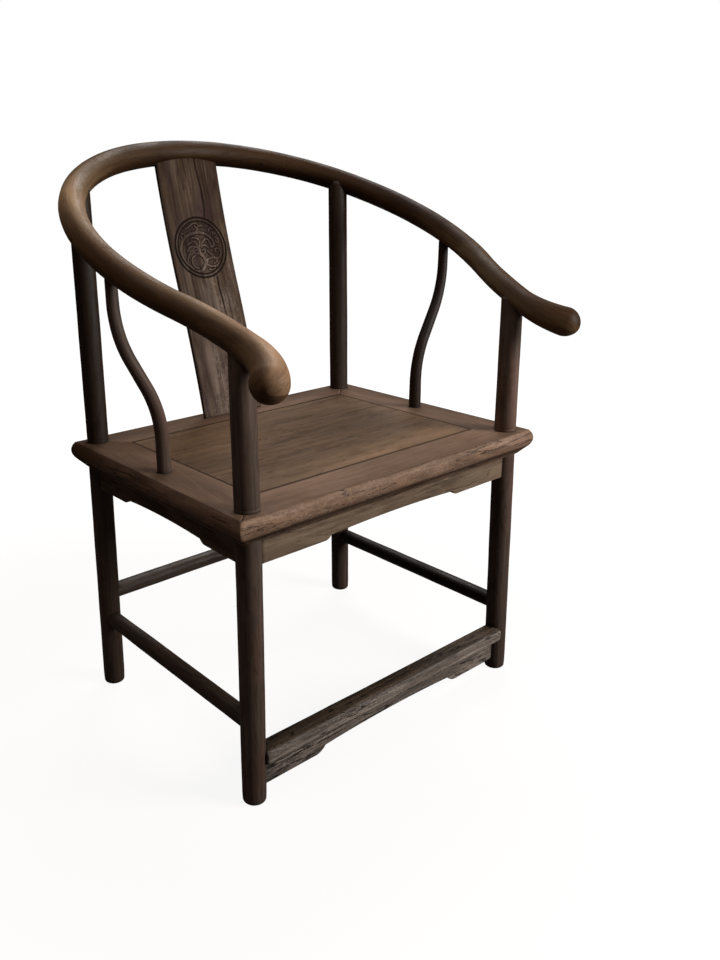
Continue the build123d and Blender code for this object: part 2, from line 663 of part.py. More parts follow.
# ---- assembly -----------------------------------------------------------------------------------
def build_chair():
    """Every piece of the chair by name, laid out from the middle of the seat."""
    tube = rail_tube()
    whole_tube = tube + mirrored(tube)
    pieces = {}

    # rail, with mortises for the splat, the posts and the side posts
    centre, shoulder, arm = rail_lengths(tube)
    pieces["rail_centre"] = centre + mirrored(centre) - splat_tongue(joint_clearance)
    shoulder -= post_tenon(False, joint_clearance)
    arm = arm - post_tenon(True, joint_clearance) - side_post_tenon(False, joint_clearance)
    shoulder -= side_post_tenon(False, joint_clearance)
    pieces["rail_shoulder_right"] = shoulder
    pieces["rail_shoulder_left"] = mirrored(shoulder)
    pieces["rail_arm_right"] = arm
    pieces["rail_arm_left"] = mirrored(arm)
    pegs = [scarf_peg(angle) & tube for angle in (rear_joint_angle, side_joint_angle)]
    pieces["rail_scarf_pegs"] = Part() + pegs + [mirrored(peg) for peg in pegs]

    pieces["back_splat"] = back_splat(whole_tube)
    right_side_post = side_post(tube)
    pieces["side_post_right"] = right_side_post
    pieces["side_post_left"] = mirrored(right_side_post)

    # legs, housed for the aprons and mortised for the stretchers
    plain_legs = {front: leg_below_seat(front) for front in (True, False)}
    front_end = leg_axis_at(True, side_stretcher_height)
    rear_end = leg_axis_at(False, side_stretcher_height)
    back_end = leg_axis_at(False, rear_stretcher_height)
    back_start = (-back_end[0], back_end[1], back_end[2])
    for front, plain in plain_legs.items():
        end_piece = end_apron(joint_clearance)
        leg = plain - (end_piece if front else turned(end_piece))
        leg -= side_apron(joint_clearance)
        leg -= stretcher_tenons(front_end, rear_end, joint_clearance)
        if front:
            leg = leg - foot_rest_tenons(joint_clearance) - lower_apron(joint_clearance)
        else:
            leg -= stretcher_tenons(back_start, back_end, joint_clearance)
        leg += post_above_seat(front, tube)
        name = "front" if front else "rear"
        pieces[name + "_leg_right"] = leg
        pieces[name + "_leg_left"] = mirrored(leg)

    # stretchers and foot rest
    side_bar = stretcher(front_end, rear_end, plain_legs.values())
    pieces["side_stretcher_right"] = side_bar
    pieces["side_stretcher_left"] = mirrored(side_bar)
    rear_legs = [plain_legs[False], mirrored(plain_legs[False])]
    pieces["rear_stretcher"] = stretcher(back_start, back_end, rear_legs)
    front_legs = [plain_legs[True], mirrored(plain_legs[True])]
    tongue_groove = lower_apron(joint_clearance)
    pieces["foot_rest"] = foot_rest(front_legs) - tongue_groove
    pieces["foot_rest_apron"] = lower_apron()

    # seat frame
    front_bores = frame_bore(True) + mirrored(frame_bore(True))
    rear_bores = frame_bore(False) + mirrored(frame_bore(False))
    batten_x = (-batten_spacing / 2, batten_spacing / 2)
    batten_mortises = Part() + [batten_tenons(x, joint_clearance) for x in batten_x]
    plain_front = front_member()
    front_bar = plain_front - front_bores - end_apron(joint_clearance) - batten_mortises
    back_bar = turned(plain_front) - rear_bores - turned(end_apron(joint_clearance)) - batten_mortises
    pieces["seat_frame_front"] = front_bar
    pieces["seat_frame_back"] = back_bar - splat_tongue(joint_clearance)
    side_member = right_member() - frame_bore(True) - frame_bore(False)
    side_member = side_member - side_apron(joint_clearance) - side_post_tenon(True, joint_clearance)
    pieces["seat_frame_right"] = side_member
    pieces["seat_frame_left"] = mirrored(side_member)

    # seat panel
    housings = Part() + [batten(x, joint_clearance) for x in batten_x]
    for index in range(board_count):
        pieces["seat_board_" + str(index + 1)] = seat_board(index) - housings
    pieces["seat_batten_left"] = batten(batten_x[0])
    pieces["seat_batten_right"] = batten(batten_x[1])

    # aprons under the seat
    pieces["apron_front"] = end_apron()
    pieces["apron_back"] = turned(end_apron())
    pieces["apron_right"] = side_apron()
    pieces["apron_left"] = mirrored(side_apron())
    return pieces


def place(pieces):
    """Moves the chair so that the origin is on the floor under the middle of its outline."""
    boxes = [piece.bounding_box() for piece in pieces.values()]
    front = min(bounds.min.Y for bounds in boxes)
    back = max(bounds.max.Y for bounds in boxes)
    shift = Pos(0, -(front + back) / 2, 0)
    return {name: shift * piece for name, piece in pieces.items()}


os.makedirs("parts", exist_ok=True)
for node, piece in place(build_chair()).items():
    export_step(piece, "parts/" + node + ".step")
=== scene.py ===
"""Horseshoe back armchair: looks, camera and light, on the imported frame. Metres, +Z up, front faces -Y."""

from math import acos, atan2, cos, degrees, pi, radians, sin, sqrt, tan

import bmesh
import bpy
import numpy as np
from mathutils import Matrix, Vector, noise


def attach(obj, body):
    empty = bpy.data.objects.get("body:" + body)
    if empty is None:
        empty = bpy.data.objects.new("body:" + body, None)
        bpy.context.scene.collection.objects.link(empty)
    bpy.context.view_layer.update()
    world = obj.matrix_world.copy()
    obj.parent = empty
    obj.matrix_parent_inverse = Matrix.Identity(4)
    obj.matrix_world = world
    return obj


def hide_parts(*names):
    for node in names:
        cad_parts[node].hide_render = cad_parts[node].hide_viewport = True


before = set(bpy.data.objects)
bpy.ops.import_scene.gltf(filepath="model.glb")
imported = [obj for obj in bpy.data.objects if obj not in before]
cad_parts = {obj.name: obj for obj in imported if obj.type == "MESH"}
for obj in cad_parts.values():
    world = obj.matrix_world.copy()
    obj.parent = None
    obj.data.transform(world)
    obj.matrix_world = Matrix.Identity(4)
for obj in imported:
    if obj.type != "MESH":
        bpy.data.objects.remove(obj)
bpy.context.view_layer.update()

MM = 0.001
JOINED = 1e-6  # vertices closer than this become one
SHIFT_Y = -20.611  # from the seat-centred layout to the frame's origin

# ---- the chair's sizes, in millimetres, laid out from the middle of the seat ----
SEAT_W, SEAT_D, SEAT_H = 620.0, 474.0, 469.0
SIDE_MEMBER_W, END_MEMBER_W = 72.0, 69.0
INNER_X, INNER_Y = SEAT_W / 2 - SIDE_MEMBER_W, SEAT_D / 2 - END_MEMBER_W
FRAME_T = 44.0
BOTTOM = SEAT_H - FRAME_T
NOSE_BULGE, NOSE_MIDDLE, NOSE_END = 6.0, 13.0, 31.0  # of the members' round edge: how far out, how far down
MITRE_EASE = 0.55  # the mitred ends stay this far short of each other's face
BOARDS, BOARD_T, BOARD_GAP = 3, 11.0, 0.15
LEG_R, POST_R, POST_TOP_R = 18.8, 18.2, 17.8
LEG_X, SIDE_SPLAY, END_SPLAY = 278.3, 10.2, 5.4
FRONT_LEG_Y, FRONT_TOP_Y = -209.4, -207.2  # at seat height, and where the post meets the rail
REAR_LEG_Y, REAR_TOP_Y = 213.9, 212.5
FOOT_ROUNDING = 4.0
POST_INSET = 4.0  # posts meet the rail this far inside its axis
SIDE_POST_X, SIDE_POST_Y = 278.5, 1.0
SIDE_POST_R, SIDE_POST_TOP_R = 11.3, 8.5
SIDE_POST_FOOT, SIDE_POST_HEAD = 49.0, 52.0  # its straight ends
SIDE_POST_TENON = 14.0  # its taper starts this deep in the seat
SIDE_POST_DROP = 3.5  # its path stops this far under the rail's axis
SIDE_POST_BOW = 1.65  # slope of its middle, in parts of the straight line's
STRETCHER_R, SIDE_STRETCHER_Z, REAR_STRETCHER_Z = 14.0, 133.5, 182.8
REST_FRONT, REST_BACK, REST_LOW, REST_TOP = -236.0, -200.0, 63.0, 89.0
REST_HALF, REST_ROUNDING = 275.0, 9.0
APRON_T, APRON_HOUSING = 12.0, 7.0  # thickness, depth of the ends in the legs
END_APRON_Y, SIDE_APRON_X = 220.0, 289.0  # outer faces
# height at the ends, rise of the cusps, height in the middle, width of the cusps
SEAT_APRON = (38.0, 6.5, 28.0, 13.0)
LOW_APRON = (42.0, 10.5, 27.0, 24.0)
END_REACH, SIDE_REACH, LOW_REACH = 148.0, 118.0, 172.0  # from the middle of an apron to its cusps


def place(points):
    """Seat-centred millimetres to frame metres."""
    return (np.asarray(points, float) + (0, SHIFT_Y, 0)) * MM


# ---- curves for shapes and tones ----
def rise(value, start, length):
    """0 up to start and 1 from start + length on; a negative length runs the other way."""
    return np.clip((value - start) / length, 0.0, 1.0)


def soft_rise(value, start, length):
    share = rise(value, start, length)
    return share * share * (3 - 2 * share)


def bell(value, middle, width):
    """A smooth bump of height 1."""
    return np.exp(-(((value - middle) / width) ** 2))


def noise_at(points):
    """Smooth noise between -1 and 1 at each of the points."""
    return np.array([noise.noise(Vector(p)) for p in np.reshape(points, (-1, 3)).tolist()])


def gather(x, y, z):
    """Points from their coordinates; a single number counts for all of them."""
    return np.stack(np.broadcast_arrays(x, y, z), -1)


# ---- mesh helpers ----
def new_object(name, data):
    obj = bpy.data.objects.new(name, data)
    bpy.context.scene.collection.objects.link(obj)
    return obj


def tint(tone):
    """Colour multiplier for a brightness: darker tones, painted shade among them, turn redder, not just
    darker.
    """
    tone = np.asarray(tone, np.float32)
    under = np.minimum(tone, 1.0)
    return np.stack([tone * under**-0.2, tone, tone * under**0.28], -1)


def make_mesh(name, verts_mm, faces, grain_mm, cavity, tone):
    """A mesh from seat-centred millimetres. Its vertices store what the woods read from them.

    grain is the wood's own coordinates, cavity its dark lines and painted shade, tone its colour multiplier,
    which on many pieces is painted light and shade.
    """
    verts_mm = np.array(verts_mm, float)
    verts_mm[:, 2] = np.maximum(verts_mm[:, 2], 0.0)
    mesh = bpy.data.meshes.new(name)
    mesh.from_pydata(place(verts_mm).tolist(), [], faces)
    grain = np.asarray(grain_mm, np.float32) * MM
    tone = np.asarray(tone, float)
    tone = tint(tone) if tone.ndim == 1 else tone
    for key, values in {"grain": grain, "cavity": cavity, "tone": tone}.items():
        values = np.asarray(values, np.float32)
        kind, field = ("FLOAT", "value") if values.ndim == 1 else ("FLOAT_VECTOR", "vector")
        mesh.attributes.new(key, kind, "POINT").data.foreach_set(field, values.ravel())
    mesh.polygons.foreach_set("use_smooth", [True] * len(mesh.polygons))
    mesh.update()
    return new_object(name, mesh)


def tidy_mesh(obj, distance):
    """Joins vertices that lie on each other and turns the faces outward."""
    work = bmesh.new()
    work.from_mesh(obj.data)
    bmesh.ops.remove_doubles(work, verts=work.verts, dist=distance)
    bmesh.ops.recalc_face_normals(work, faces=work.faces)
    work.to_mesh(obj.data)
    work.free()
    obj.data.update()


def grid_faces(rows, columns, closed=False, start=0):
    """Quads between rows of vertices that follow each other."""
    low = start + columns * np.arange(rows - 1)[:, None]
    j = np.arange(columns if closed else columns - 1)
    m = (j + 1) % columns
    corners = (low + j, low + m, low + columns + m, low + columns + j)
    return [tuple(quad) for quad in np.stack(corners, -1).reshape(-1, 4).tolist()]


def make_piece(name, rows, faces, material, slot, node, joined=0.0):
    """A piece from rows of vertices, each with its points and their grain, cavity and tone.

    Vertices closer than joined become one. node is what the piece stands for.
    """
    points, grain, cavity, tone = zip(*rows)

    def whole(part):
        """The values of all rows; a single number counts for its row."""
        return np.concatenate([np.broadcast_to(v, (len(p), *np.shape(v)[1:])) for v, p in zip(part, points)])

    obj = make_mesh(name, whole(points), faces, whole(grain), whole(cavity), whole(tone))
    if joined:
        tidy_mesh(obj, joined)
    obj.data.materials.append(material)
    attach(obj, "root")
    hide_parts(node)


def loft(name, rows, material, slot, node, wobble=0.0, seed=0.0, joined=0.0):
    """A piece with a closed skin over rings; wobble moves it in and out a little, as hand work does."""
    rings = np.array([row[0] for row in rows])
    count, columns, _ = rings.shape
    if wobble:
        out = rings - rings.mean(axis=1, keepdims=True)
        out /= np.maximum(np.linalg.norm(out, axis=2, keepdims=True), 1e-6)
        spots = rings * 0.016 + seed
        uneven = noise_at(spots) + 0.35 * noise_at(4.1 * spots)
        rings = rings + out * wobble * uneven.reshape(count, columns, 1)
    faces = grid_faces(count, columns, closed=True)
    faces += [tuple(range(columns))[::-1], tuple(range((count - 1) * columns, count * columns))]
    rows = [(ring, *stored) for ring, (_, *stored) in zip(rings, rows)]
    make_piece(name, rows, faces, material, slot, node, joined)


def rounded_polygon(points, radii, steps):
    """A closed outline with each corner rounded by its own radius, in the given number of steps."""
    points = [np.array(p, float) for p in points]
    out = []
    for i, (corner, r) in enumerate(zip(points, radii)):
        if r <= 0:
            out.append(corner)
            continue
        u, v = points[i - 1] - corner, points[(i + 1) % len(points)] - corner
        lu, lv = np.linalg.norm(u), np.linalg.norm(v)
        u, v = u / lu, v / lv
        half = acos(max(-1, min(1, float(u @ v)))) / 2
        cut = min(r / tan(half), 0.48 * lu, 0.48 * lv)
        radius = cut * tan(half)
        middle = corner + (u + v) / np.linalg.norm(u + v) * radius / sin(half)
        for w in np.linspace(0, 1, steps + 1):
            d = (corner + u * cut - middle) * (1 - w) + (corner + v * cut - middle) * w
            out.append(middle + d / np.linalg.norm(d) * radius)
    return np.array(out)


def shrink(outline, amount):
    """An outline drawn in by a small amount towards its middle."""
    centre = outline.mean(axis=0)
    size = (outline.max(axis=0) - outline.min(axis=0)) / 2
    return centre + (outline - centre) * (1 - amount / size)


def circle_through(*points):
    """Centre and radius of the circle through three points, and their angles on it."""
    a, b, c = (np.array(p, float) for p in points)
    centre = np.linalg.solve(2 * np.array([b - a, c - a]), [b @ b - a @ a, c @ c - a @ a])
    return centre, np.linalg.norm(a - centre), np.unwrap([atan2(*(p - centre)[::-1]) for p in (a, b, c)])


def circle_points(centre, radius, angles):
    return [centre + radius * np.array((cos(t), sin(t))) for t in angles]


# ---- round pieces ----
def bar_curve(points):
    """Position and frame along a path of straight lines, by distance from its start."""
    lengths = [np.linalg.norm(b - a) for a, b in zip(points, points[1:])]
    starts = np.cumsum([0.0, *lengths])

    def at(s):
        i = int(np.clip(np.searchsorted(starts, s) - 1, 0, len(lengths) - 1))
        t = (points[i + 1] - points[i]) / lengths[i]
        side = np.cross((0, 1.0, 0) if abs(t[1]) < 0.9 else (0, 0, 1.0), t)
        side /= np.linalg.norm(side)
        return points[i] + t * (s - starts[i]), side, np.cross(t, side)

    return at, starts[-1]


def turtle(heading, arcs):
    """Plane path of arcs and lines from 0, 0: (radius or None, signed angle in degrees or length)."""

    def walk(p, h, radius, amount, u):
        """Place and heading after the distance u of one arc or line."""
        if radius is None:
            return p + u * np.array((cos(h), sin(h))), h
        sign = 1 if amount > 0 else -1
        h2 = h + sign * u / radius
        return p + radius * sign * np.array((sin(h2) - sin(h), cos(h) - cos(h2))), h2

    parts, p, h, run = [], np.zeros(2), heading, 0.0
    for radius, amount in arcs:
        length = amount if radius is None else radius * abs(radians(amount))
        parts.append((run, length, (p, h, radius, amount)))
        p, h = walk(p, h, radius, amount, length)
        run += length

    def at(s):
        begin, length, part = next(k for k in parts if s <= k[0] + k[1] or k is parts[-1])
        q, h1 = walk(*part, min(s - begin, length))
        past = max(0.0, s - begin - length)
        return q + past * np.array((cos(h1), sin(h1))), h1

    return at, run


def round_piece(name, at, profile, around, wobble, seed, apart, dark, tone, material, node):
    """A turned or shaved round piece: profile lists distance along the path and radius.

    apart, times the seed, moves the wood's coordinates, so that no two pieces are cut from the same place.
    """
    angles = np.arange(around) / around * 2 * pi
    out, up = np.cos(angles), np.sin(angles)
    rows = []
    for s, r in profile:
        q, side, over = at(s)
        ring = q + r * (out[:, None] * side + up[:, None] * over)
        grain = gather(s, r * out, r * up) + seed * np.array(apart)
        rows.append((ring, grain, dark(s), tone(s)))
    loft(name, rows, material, "leg_wood", node, wobble, seed)


def stations(length, step):
    """Evenly spaced distances along a length."""
    return np.linspace(0, length, max(2, int(length / step))).tolist()


def profile_bar(length, start_r, end_r, start_round=0.0):
    """Tapered bar: distances along it and radii, its start rolled over by the given rounding."""
    turns = [pi / 2 * k / 6 for k in range(7)] if start_round else []
    rolled = [(start_round * (1 - cos(a)), start_r - start_round + start_round * sin(a)) for a in turns]
    taper = (end_r - start_r) / length
    return rolled + [(s, start_r + taper * s) for s in stations(length, 6.0) if s > start_round]


# ---- crest rail ----
TILT = radians(23.1)
RAIL_ORIGIN = np.array((0, 338.8, 931.0))
RAIL_X, RAIL_Y, RAIL_Z = np.array(((1, 0, 0), (0, cos(TILT), sin(TILT)), (0, -sin(TILT), cos(TILT))))
BEND, ARM, HAND = (347.0, -115.2), (416.0, 17.2), (91.0, 49.7)  # radius, turn in degrees
rail_plane_at, RAIL_LEN = turtle(0.0, (BEND, ARM, HAND))
BEND_L, ARM_L = (radius * abs(radians(turn)) for radius, turn in (BEND, ARM))
RAIL_RADII = (21.2, 18.9, 20.4, 25.5)  # in the middle, at the end of the bend, at the wrist, at the hand
HAND_R = RAIL_RADII[-1]
END = RAIL_LEN + HAND_R
REAR_S, SIDE_S = BEND[0] * radians(27.0), BEND[0] * radians(82.0)  # the scarf joints
LAP = 46.0  # half of a joint's length
GROOVE, END_EASE = 0.1, 0.35  # depth of the joints' lines, and how far the wood eases into them
SKIN = 0.2  # the skin lies this far inside the solid
PEG_HALF = {1: 5.0, -1: 4.35}  # half a peg's width, on the rail's outer and inner side
# painted light and shade by distance from the middle: a painted highlight on the left bend, painted shade
# behind the right shoulder
RAIL_PAINTED_LIGHT = (
    (-930, 1.35), (-860, 2.3), (-700, 1.0), (-560, 0.95), (-450, 1.6), (-385, 2.4), (-320, 1.6), (-250, 0.74),
    (-170, 0.48), (-60, 0.28), (120, 0.26), (230, 0.25), (300, 0.18), (480, 0.22), (560, 0.5), (640, 1.05),
    (760, 0.95), (860, 0.65), (930, 0.45))


def rail_radius(s):
    past = abs(s) - RAIL_LEN
    if past >= 0:
        return sqrt(max(0.0, HAND_R**2 - past**2))
    return float(np.interp(abs(s), (0.0, BEND_L, BEND_L + ARM_L, RAIL_LEN), RAIL_RADII))


def rail_at(s):
    """Centre, outward direction and upward direction of the rail at a signed distance from its middle."""
    q, h = rail_plane_at(abs(s))
    flip = np.array((1 if s >= 0 else -1, 1, 1))
    across = -sin(h) * RAIL_X + cos(h) * RAIL_Y
    return (RAIL_ORIGIN + q[0] * RAIL_X + q[1] * RAIL_Y) * flip, across * flip, RAIL_Z


def rail_painted_light(s, outward, upward):
    """Painted light and shade: lighter on the top and on the outside of the left bend; painted shade on the
    underside, and on the top of the right arm.
    """
    if s < -200:
        arm = np.where(upward > 0, soft_rise(outward, 0.8, -0.95), 0.0)
        bend = bell(s, -350, 100)
        painted_lit = (1 - bend) * arm + bend * (0.3 + 0.7 * soft_rise(outward, -0.5, 0.9))
    else:
        painted_lit = soft_rise(upward, -0.25, 0.95)
        shadowed = 1.1 - 1.1 * soft_rise(upward, 0.1, 0.7)
        painted_lit = painted_lit + soft_rise(s, 280, 200) * (shadowed - painted_lit)
    brightness = np.interp(s, *zip(*RAIL_PAINTED_LIGHT)) * (0.38 + 0.62 * painted_lit)
    red = soft_rise(-s, 440, 160)  # the left arm is a redder length of wood
    return tint(brightness) * (1.0, 1 - 0.06 * red, 1 - 0.04 * red)


def rail_piece(name, upper, lower, material, node):
    """One length of the rail: its upper and lower halves end apart, as lapped scarf joints do."""
    columns = np.radians([0, 0.9, *range(4, 177, 4), 179.1, 180])
    n = len(columns)
    at_line = np.isin(range(n), (0, n - 1))
    rows, faces = [], []
    for half, (low, high) in ((1, upper), (-1, lower)):
        outward, upward = np.cos(columns), half * np.sin(columns)
        marks = {*np.arange(low, high, 4.0), high}
        for end, inward in ((low, 1), (high, -1)):
            if abs(end) > RAIL_LEN:
                marks |= {-inward * (RAIL_LEN + HAND_R * sin(pi / 2 * k / 14)) for k in range(15)}
            else:
                marks.add(end + inward * END_EASE)
        marks = sorted(m for m in marks if low - 1e-6 <= m <= high + 1e-6)
        quads = grid_faces(len(marks), n, start=n * len(rows))
        faces += quads if half > 0 else [f[::-1] for f in quads]
        for s in marks:
            q, side, over = rail_at(s)
            r = rail_radius(s)
            around = outward[:, None] * side + upward[:, None] * over
            in_lap = any(abs(abs(s) - joint) < LAP for joint in (REAR_S, SIDE_S))
            cut_end = s in (low, high) and abs(s) <= RAIL_LEN
            groove = np.where(cut_end | (at_line & in_lap), GROOVE, 0.0)
            spots = (q + r * around) * 0.014
            uneven = 0.45 * noise_at(spots) + 0.12 * noise_at(spots * 5) - SKIN
            slim = 4.2 * rise(s, 660, 130) * np.maximum(0.0, -upward)  # the right arm is thinner below
            reach = np.maximum(0.0, r + uneven * min(1.0, r / 10) - groove - slim * min(1.0, r / 20))
            grain = gather(s, r * outward, r * upward)
            # its tone is the rail's painted light and shade
            rows.append((q + reach[:, None] * around, grain, 3 * groove, rail_painted_light(s, outward, upward)))
    make_piece(name, rows, faces, material, "rail_wood", node, 2e-5)


def make_rail(material):
    rear, side = REAR_S + LAP, SIDE_S + LAP
    rear_low, side_low = REAR_S - LAP, SIDE_S - LAP
    rail_piece("rail_middle", (-rear, rear), (-rear_low, rear_low), material, "rail_centre")
    rail_piece("rail_shoulder_r", (rear, side), (rear_low, side_low), material, "rail_shoulder_right")
    rail_piece("rail_shoulder_l", (-side, -rear), (-side_low, -rear_low), material, "rail_shoulder_left")
    rail_piece("rail_arm_r", (side, END), (side_low, END), material, "rail_arm_right")
    rail_piece("rail_arm_l", (-END, -side), (-END, -side_low), material, "rail_arm_left")


def make_pegs(material):
    """The end grain of the scarf pegs, flush with the rail on its outer and inner sides."""
    rows, faces = [], []
    n = 7
    for s in (-SIDE_S, -REAR_S, REAR_S, SIDE_S):
        for face, half in PEG_HALF.items():
            quads = grid_faces(n, n, start=n * len(rows))
            across = np.linspace(-half, half, n)
            for i, u in enumerate(across):
                q, side, over = rail_at(s + u)
                rim = np.isin(range(n), (0, n - 1)) | (i in (0, n - 1))
                out = np.sqrt((rail_radius(s + u) + 0.3) ** 2 - across**2) - 0.9 * rim
                points = q + face * out[:, None] * side + across[:, None] * over
                grain = gather(across * 0.3 + 900, u + s, out * 0.2)
                # the pegs take the rail's painted light and shade
                rows.append((points, grain, 0.6 * rim, np.tile(rail_painted_light(s, face, 0.0), (n, 1))))
            (a, b), c = rows[-2][0][:2], points[1]
            outward = np.cross(b - a, c - a) @ (face * side) > 0
            faces += quads if outward else [(a, d, c, b) for a, b, c, d in quads]
    make_piece("rail_peg_ends", rows, faces, material, "rail_wood", "rail_scarf_pegs")


# ---- legs, posts and stretchers ----
def rail_point_at(y):
    """Rail axis where it crosses the given y, on the right side."""
    low, high = 0.0, RAIL_LEN
    for _ in range(40):
        mid = (low + high) / 2
        low, high = (mid, high) if rail_at(mid)[0][1] > y else (low, mid)
    return rail_at(low)[0]


def leg_points(front, side):
    """Foot, shoulder under the seat frame and top of a leg's axis."""
    seat_y, top_y = (FRONT_LEG_Y, FRONT_TOP_Y) if front else (REAR_LEG_Y, REAR_TOP_Y)
    foot = np.array((LEG_X + SIDE_SPLAY, seat_y + (-END_SPLAY if front else END_SPLAY), 0.0))
    shoulder = foot + BOTTOM / SEAT_H * (np.array((LEG_X, seat_y, SEAT_H)) - foot)
    top = rail_point_at(top_y) - (POST_INSET, 0, 0)
    return [point * (side, 1, 1) for point in (foot, shoulder, top)]


def leg_axis(front, side, height):
    """A leg's axis at a height below the seat."""
    foot, shoulder, _ = leg_points(front, side)
    return foot + (shoulder - foot) * height / BOTTOM


def make_leg(front, side, shade, material, seed):
    """A leg with the post above it. shade is its painted light and shade, below and above the seat."""
    foot, shoulder, top = leg_points(front, side)
    lower, upper = np.linalg.norm(shoulder - foot), np.linalg.norm(top - shoulder)
    seat_line = lower + FRAME_T
    profile = profile_bar(lower, LEG_R, LEG_R, FOOT_ROUNDING)
    profile = [(s, r - 0.9 * rise(s, 26.0, -26.0) ** 2) for s, r in profile]
    profile += [(lower + 0.05 + s, r) for s, r in profile_bar(upper, POST_R, POST_TOP_R)]
    profile += [(seat_line + d, POST_R) for d in (-1.5, -0.5, 0.5, 1.5, 2.6, 3.6, 4.6, 6.0)]

    def dark(s):
        return 0.9 * rise(abs(s - seat_line), 1.8, -1.8) + 0.5 * rise(s, 5.0, -5.0)

    def tone(s):
        return shade[s > seat_line] * (1 + 0.7 * bell(s, seat_line + 3.6, 1.4))

    name = ("front" if front else "rear") + "_leg_" + ("right" if side > 0 else "left")
    at, _ = bar_curve([foot, shoulder, top])
    round_piece(name + "_turned", at, sorted(profile), 60, 0.35, seed, (900, 13, -7), dark, tone, material,
                name)


def make_side_post(word, side, shade, material, seed):
    """S-shaped post under the arm."""
    top = rail_point_at(SIDE_POST_Y)
    offset = top[0] - POST_INSET - SIDE_POST_X
    rise_z = top[2] - SEAT_H - SIDE_POST_DROP - SIDE_POST_FOOT - SIDE_POST_HEAD
    lean = SIDE_POST_BOW * atan2(offset, rise_z)
    bow = (rise_z * sin(lean) - offset * cos(lean)) / (2 - 2 * cos(lean))
    slope = (rise_z - 2 * bow * sin(lean)) / cos(lean)
    turn = degrees(lean)
    arcs = ((None, SIDE_POST_FOOT), (bow, -turn), (None, slope), (bow, turn), (None, SIDE_POST_HEAD))
    path, length = turtle(pi / 2, arcs)

    def at(s):
        p, h = path(s)
        centre = np.array(((SIDE_POST_X + p[0]) * side, SIDE_POST_Y, SEAT_H + p[1]))
        return centre, np.array((sin(h) * side, 0.0, -cos(h))), np.array((0, 1.0, 0))

    taper = (SIDE_POST_TOP_R - SIDE_POST_R) / (length + SIDE_POST_TENON)
    marks = sorted({*stations(length, 4.0), 0.6, 1.4, 2.6})
    profile = [(s, SIDE_POST_R + taper * (s + SIDE_POST_TENON)) for s in marks]
    round_piece("side_post_" + word + "_bent", at, profile, 44, 0.25, seed, (800, 9, 5),
                lambda s: 0.8 * rise(s, 1.8, -1.8), lambda s: shade, material, "side_post_" + word)


def make_stretcher(name, node, start, end, shade, material, seed):
    at, length = bar_curve([start, end])
    profile = [(s, STRETCHER_R) for s in stations(length, 5.0)]
    round_piece(name, at, profile, 52, 0.3, seed, (700, 8, 6), lambda s: 0.0, lambda s: shade, material, node)


# ---- foot rest ----
def make_foot_rest(material, seed):
    """Rounded bar, worn hollow a little where the feet rest, with painted light on its front and painted
    shade on its top and back.
    """
    corners = [(REST_FRONT, REST_LOW), (REST_BACK, REST_LOW), (REST_BACK, REST_TOP), (REST_FRONT, REST_TOP)]
    outline = rounded_polygon(corners, [REST_ROUNDING] * 4, 9)
    rows = []
    middle = np.arange(2 - REST_HALF, REST_HALF - 1, 4.0)
    for x in (-REST_HALF, 0.4 - REST_HALF, *middle, REST_HALF - 0.4, REST_HALF):
        y, z = shrink(outline, 1.2 * rise(REST_HALF - abs(x), 2.0, -2.0) ** 2).T
        z = z - 0.7 * bell(x, 0, 150) * rise(z, REST_TOP - 9, 9)
        ring = gather(x, y, z)
        front = rise(z, REST_TOP - 1, -12) * rise(y, REST_FRONT + 17, -13)
        patch = 1.1 * bell(x, 165, 45) + 0.5 * bell(x, -60, 60)
        crest = bell(z, REST_TOP - 6.5, 5.0) * rise(y, REST_FRONT + 16, -10)
        # painted light on the front face and along the top front edge, paler at two spots; painted shade on
        # the top and back
        tone = 0.36 + front * (1.1 + 0.4 * patch) + 0.42 * crest
        rows.append((ring, ring + (40, -REST_FRONT, -60), 0.0, tone))
    loft("foot_rest_bar", rows, material, "foot_rest_wood", "foot_rest", 0.35, seed)


# ---- seat ----
def frame_profile(width):
    """Section of a seat member: inner edge on 0, nose toward minus, top on 0."""
    centre, radius, angles = circle_through(
        (-width, 0.0), (-width - NOSE_BULGE, -NOSE_MIDDLE), (-width + 1.0, -NOSE_END))
    nose = circle_points(centre, radius, np.linspace(angles[0], angles[2], 17))
    seam = [(-d, 0.0) for d in (1.1, 2.4, 4.0, 6.5)]  # more points beside the seam, for its dark line
    points = [(0.0, 0.0), *seam, *nose, (-width + 13.0, -FRAME_T), (0.0, -FRAME_T)]
    radii = [0.7] + [0.0] * len(seam) + [1.3] + [0.0] * (len(nose) - 2) + [0.4, 1.2, 0.5]
    return rounded_polygon(points, radii, 4)


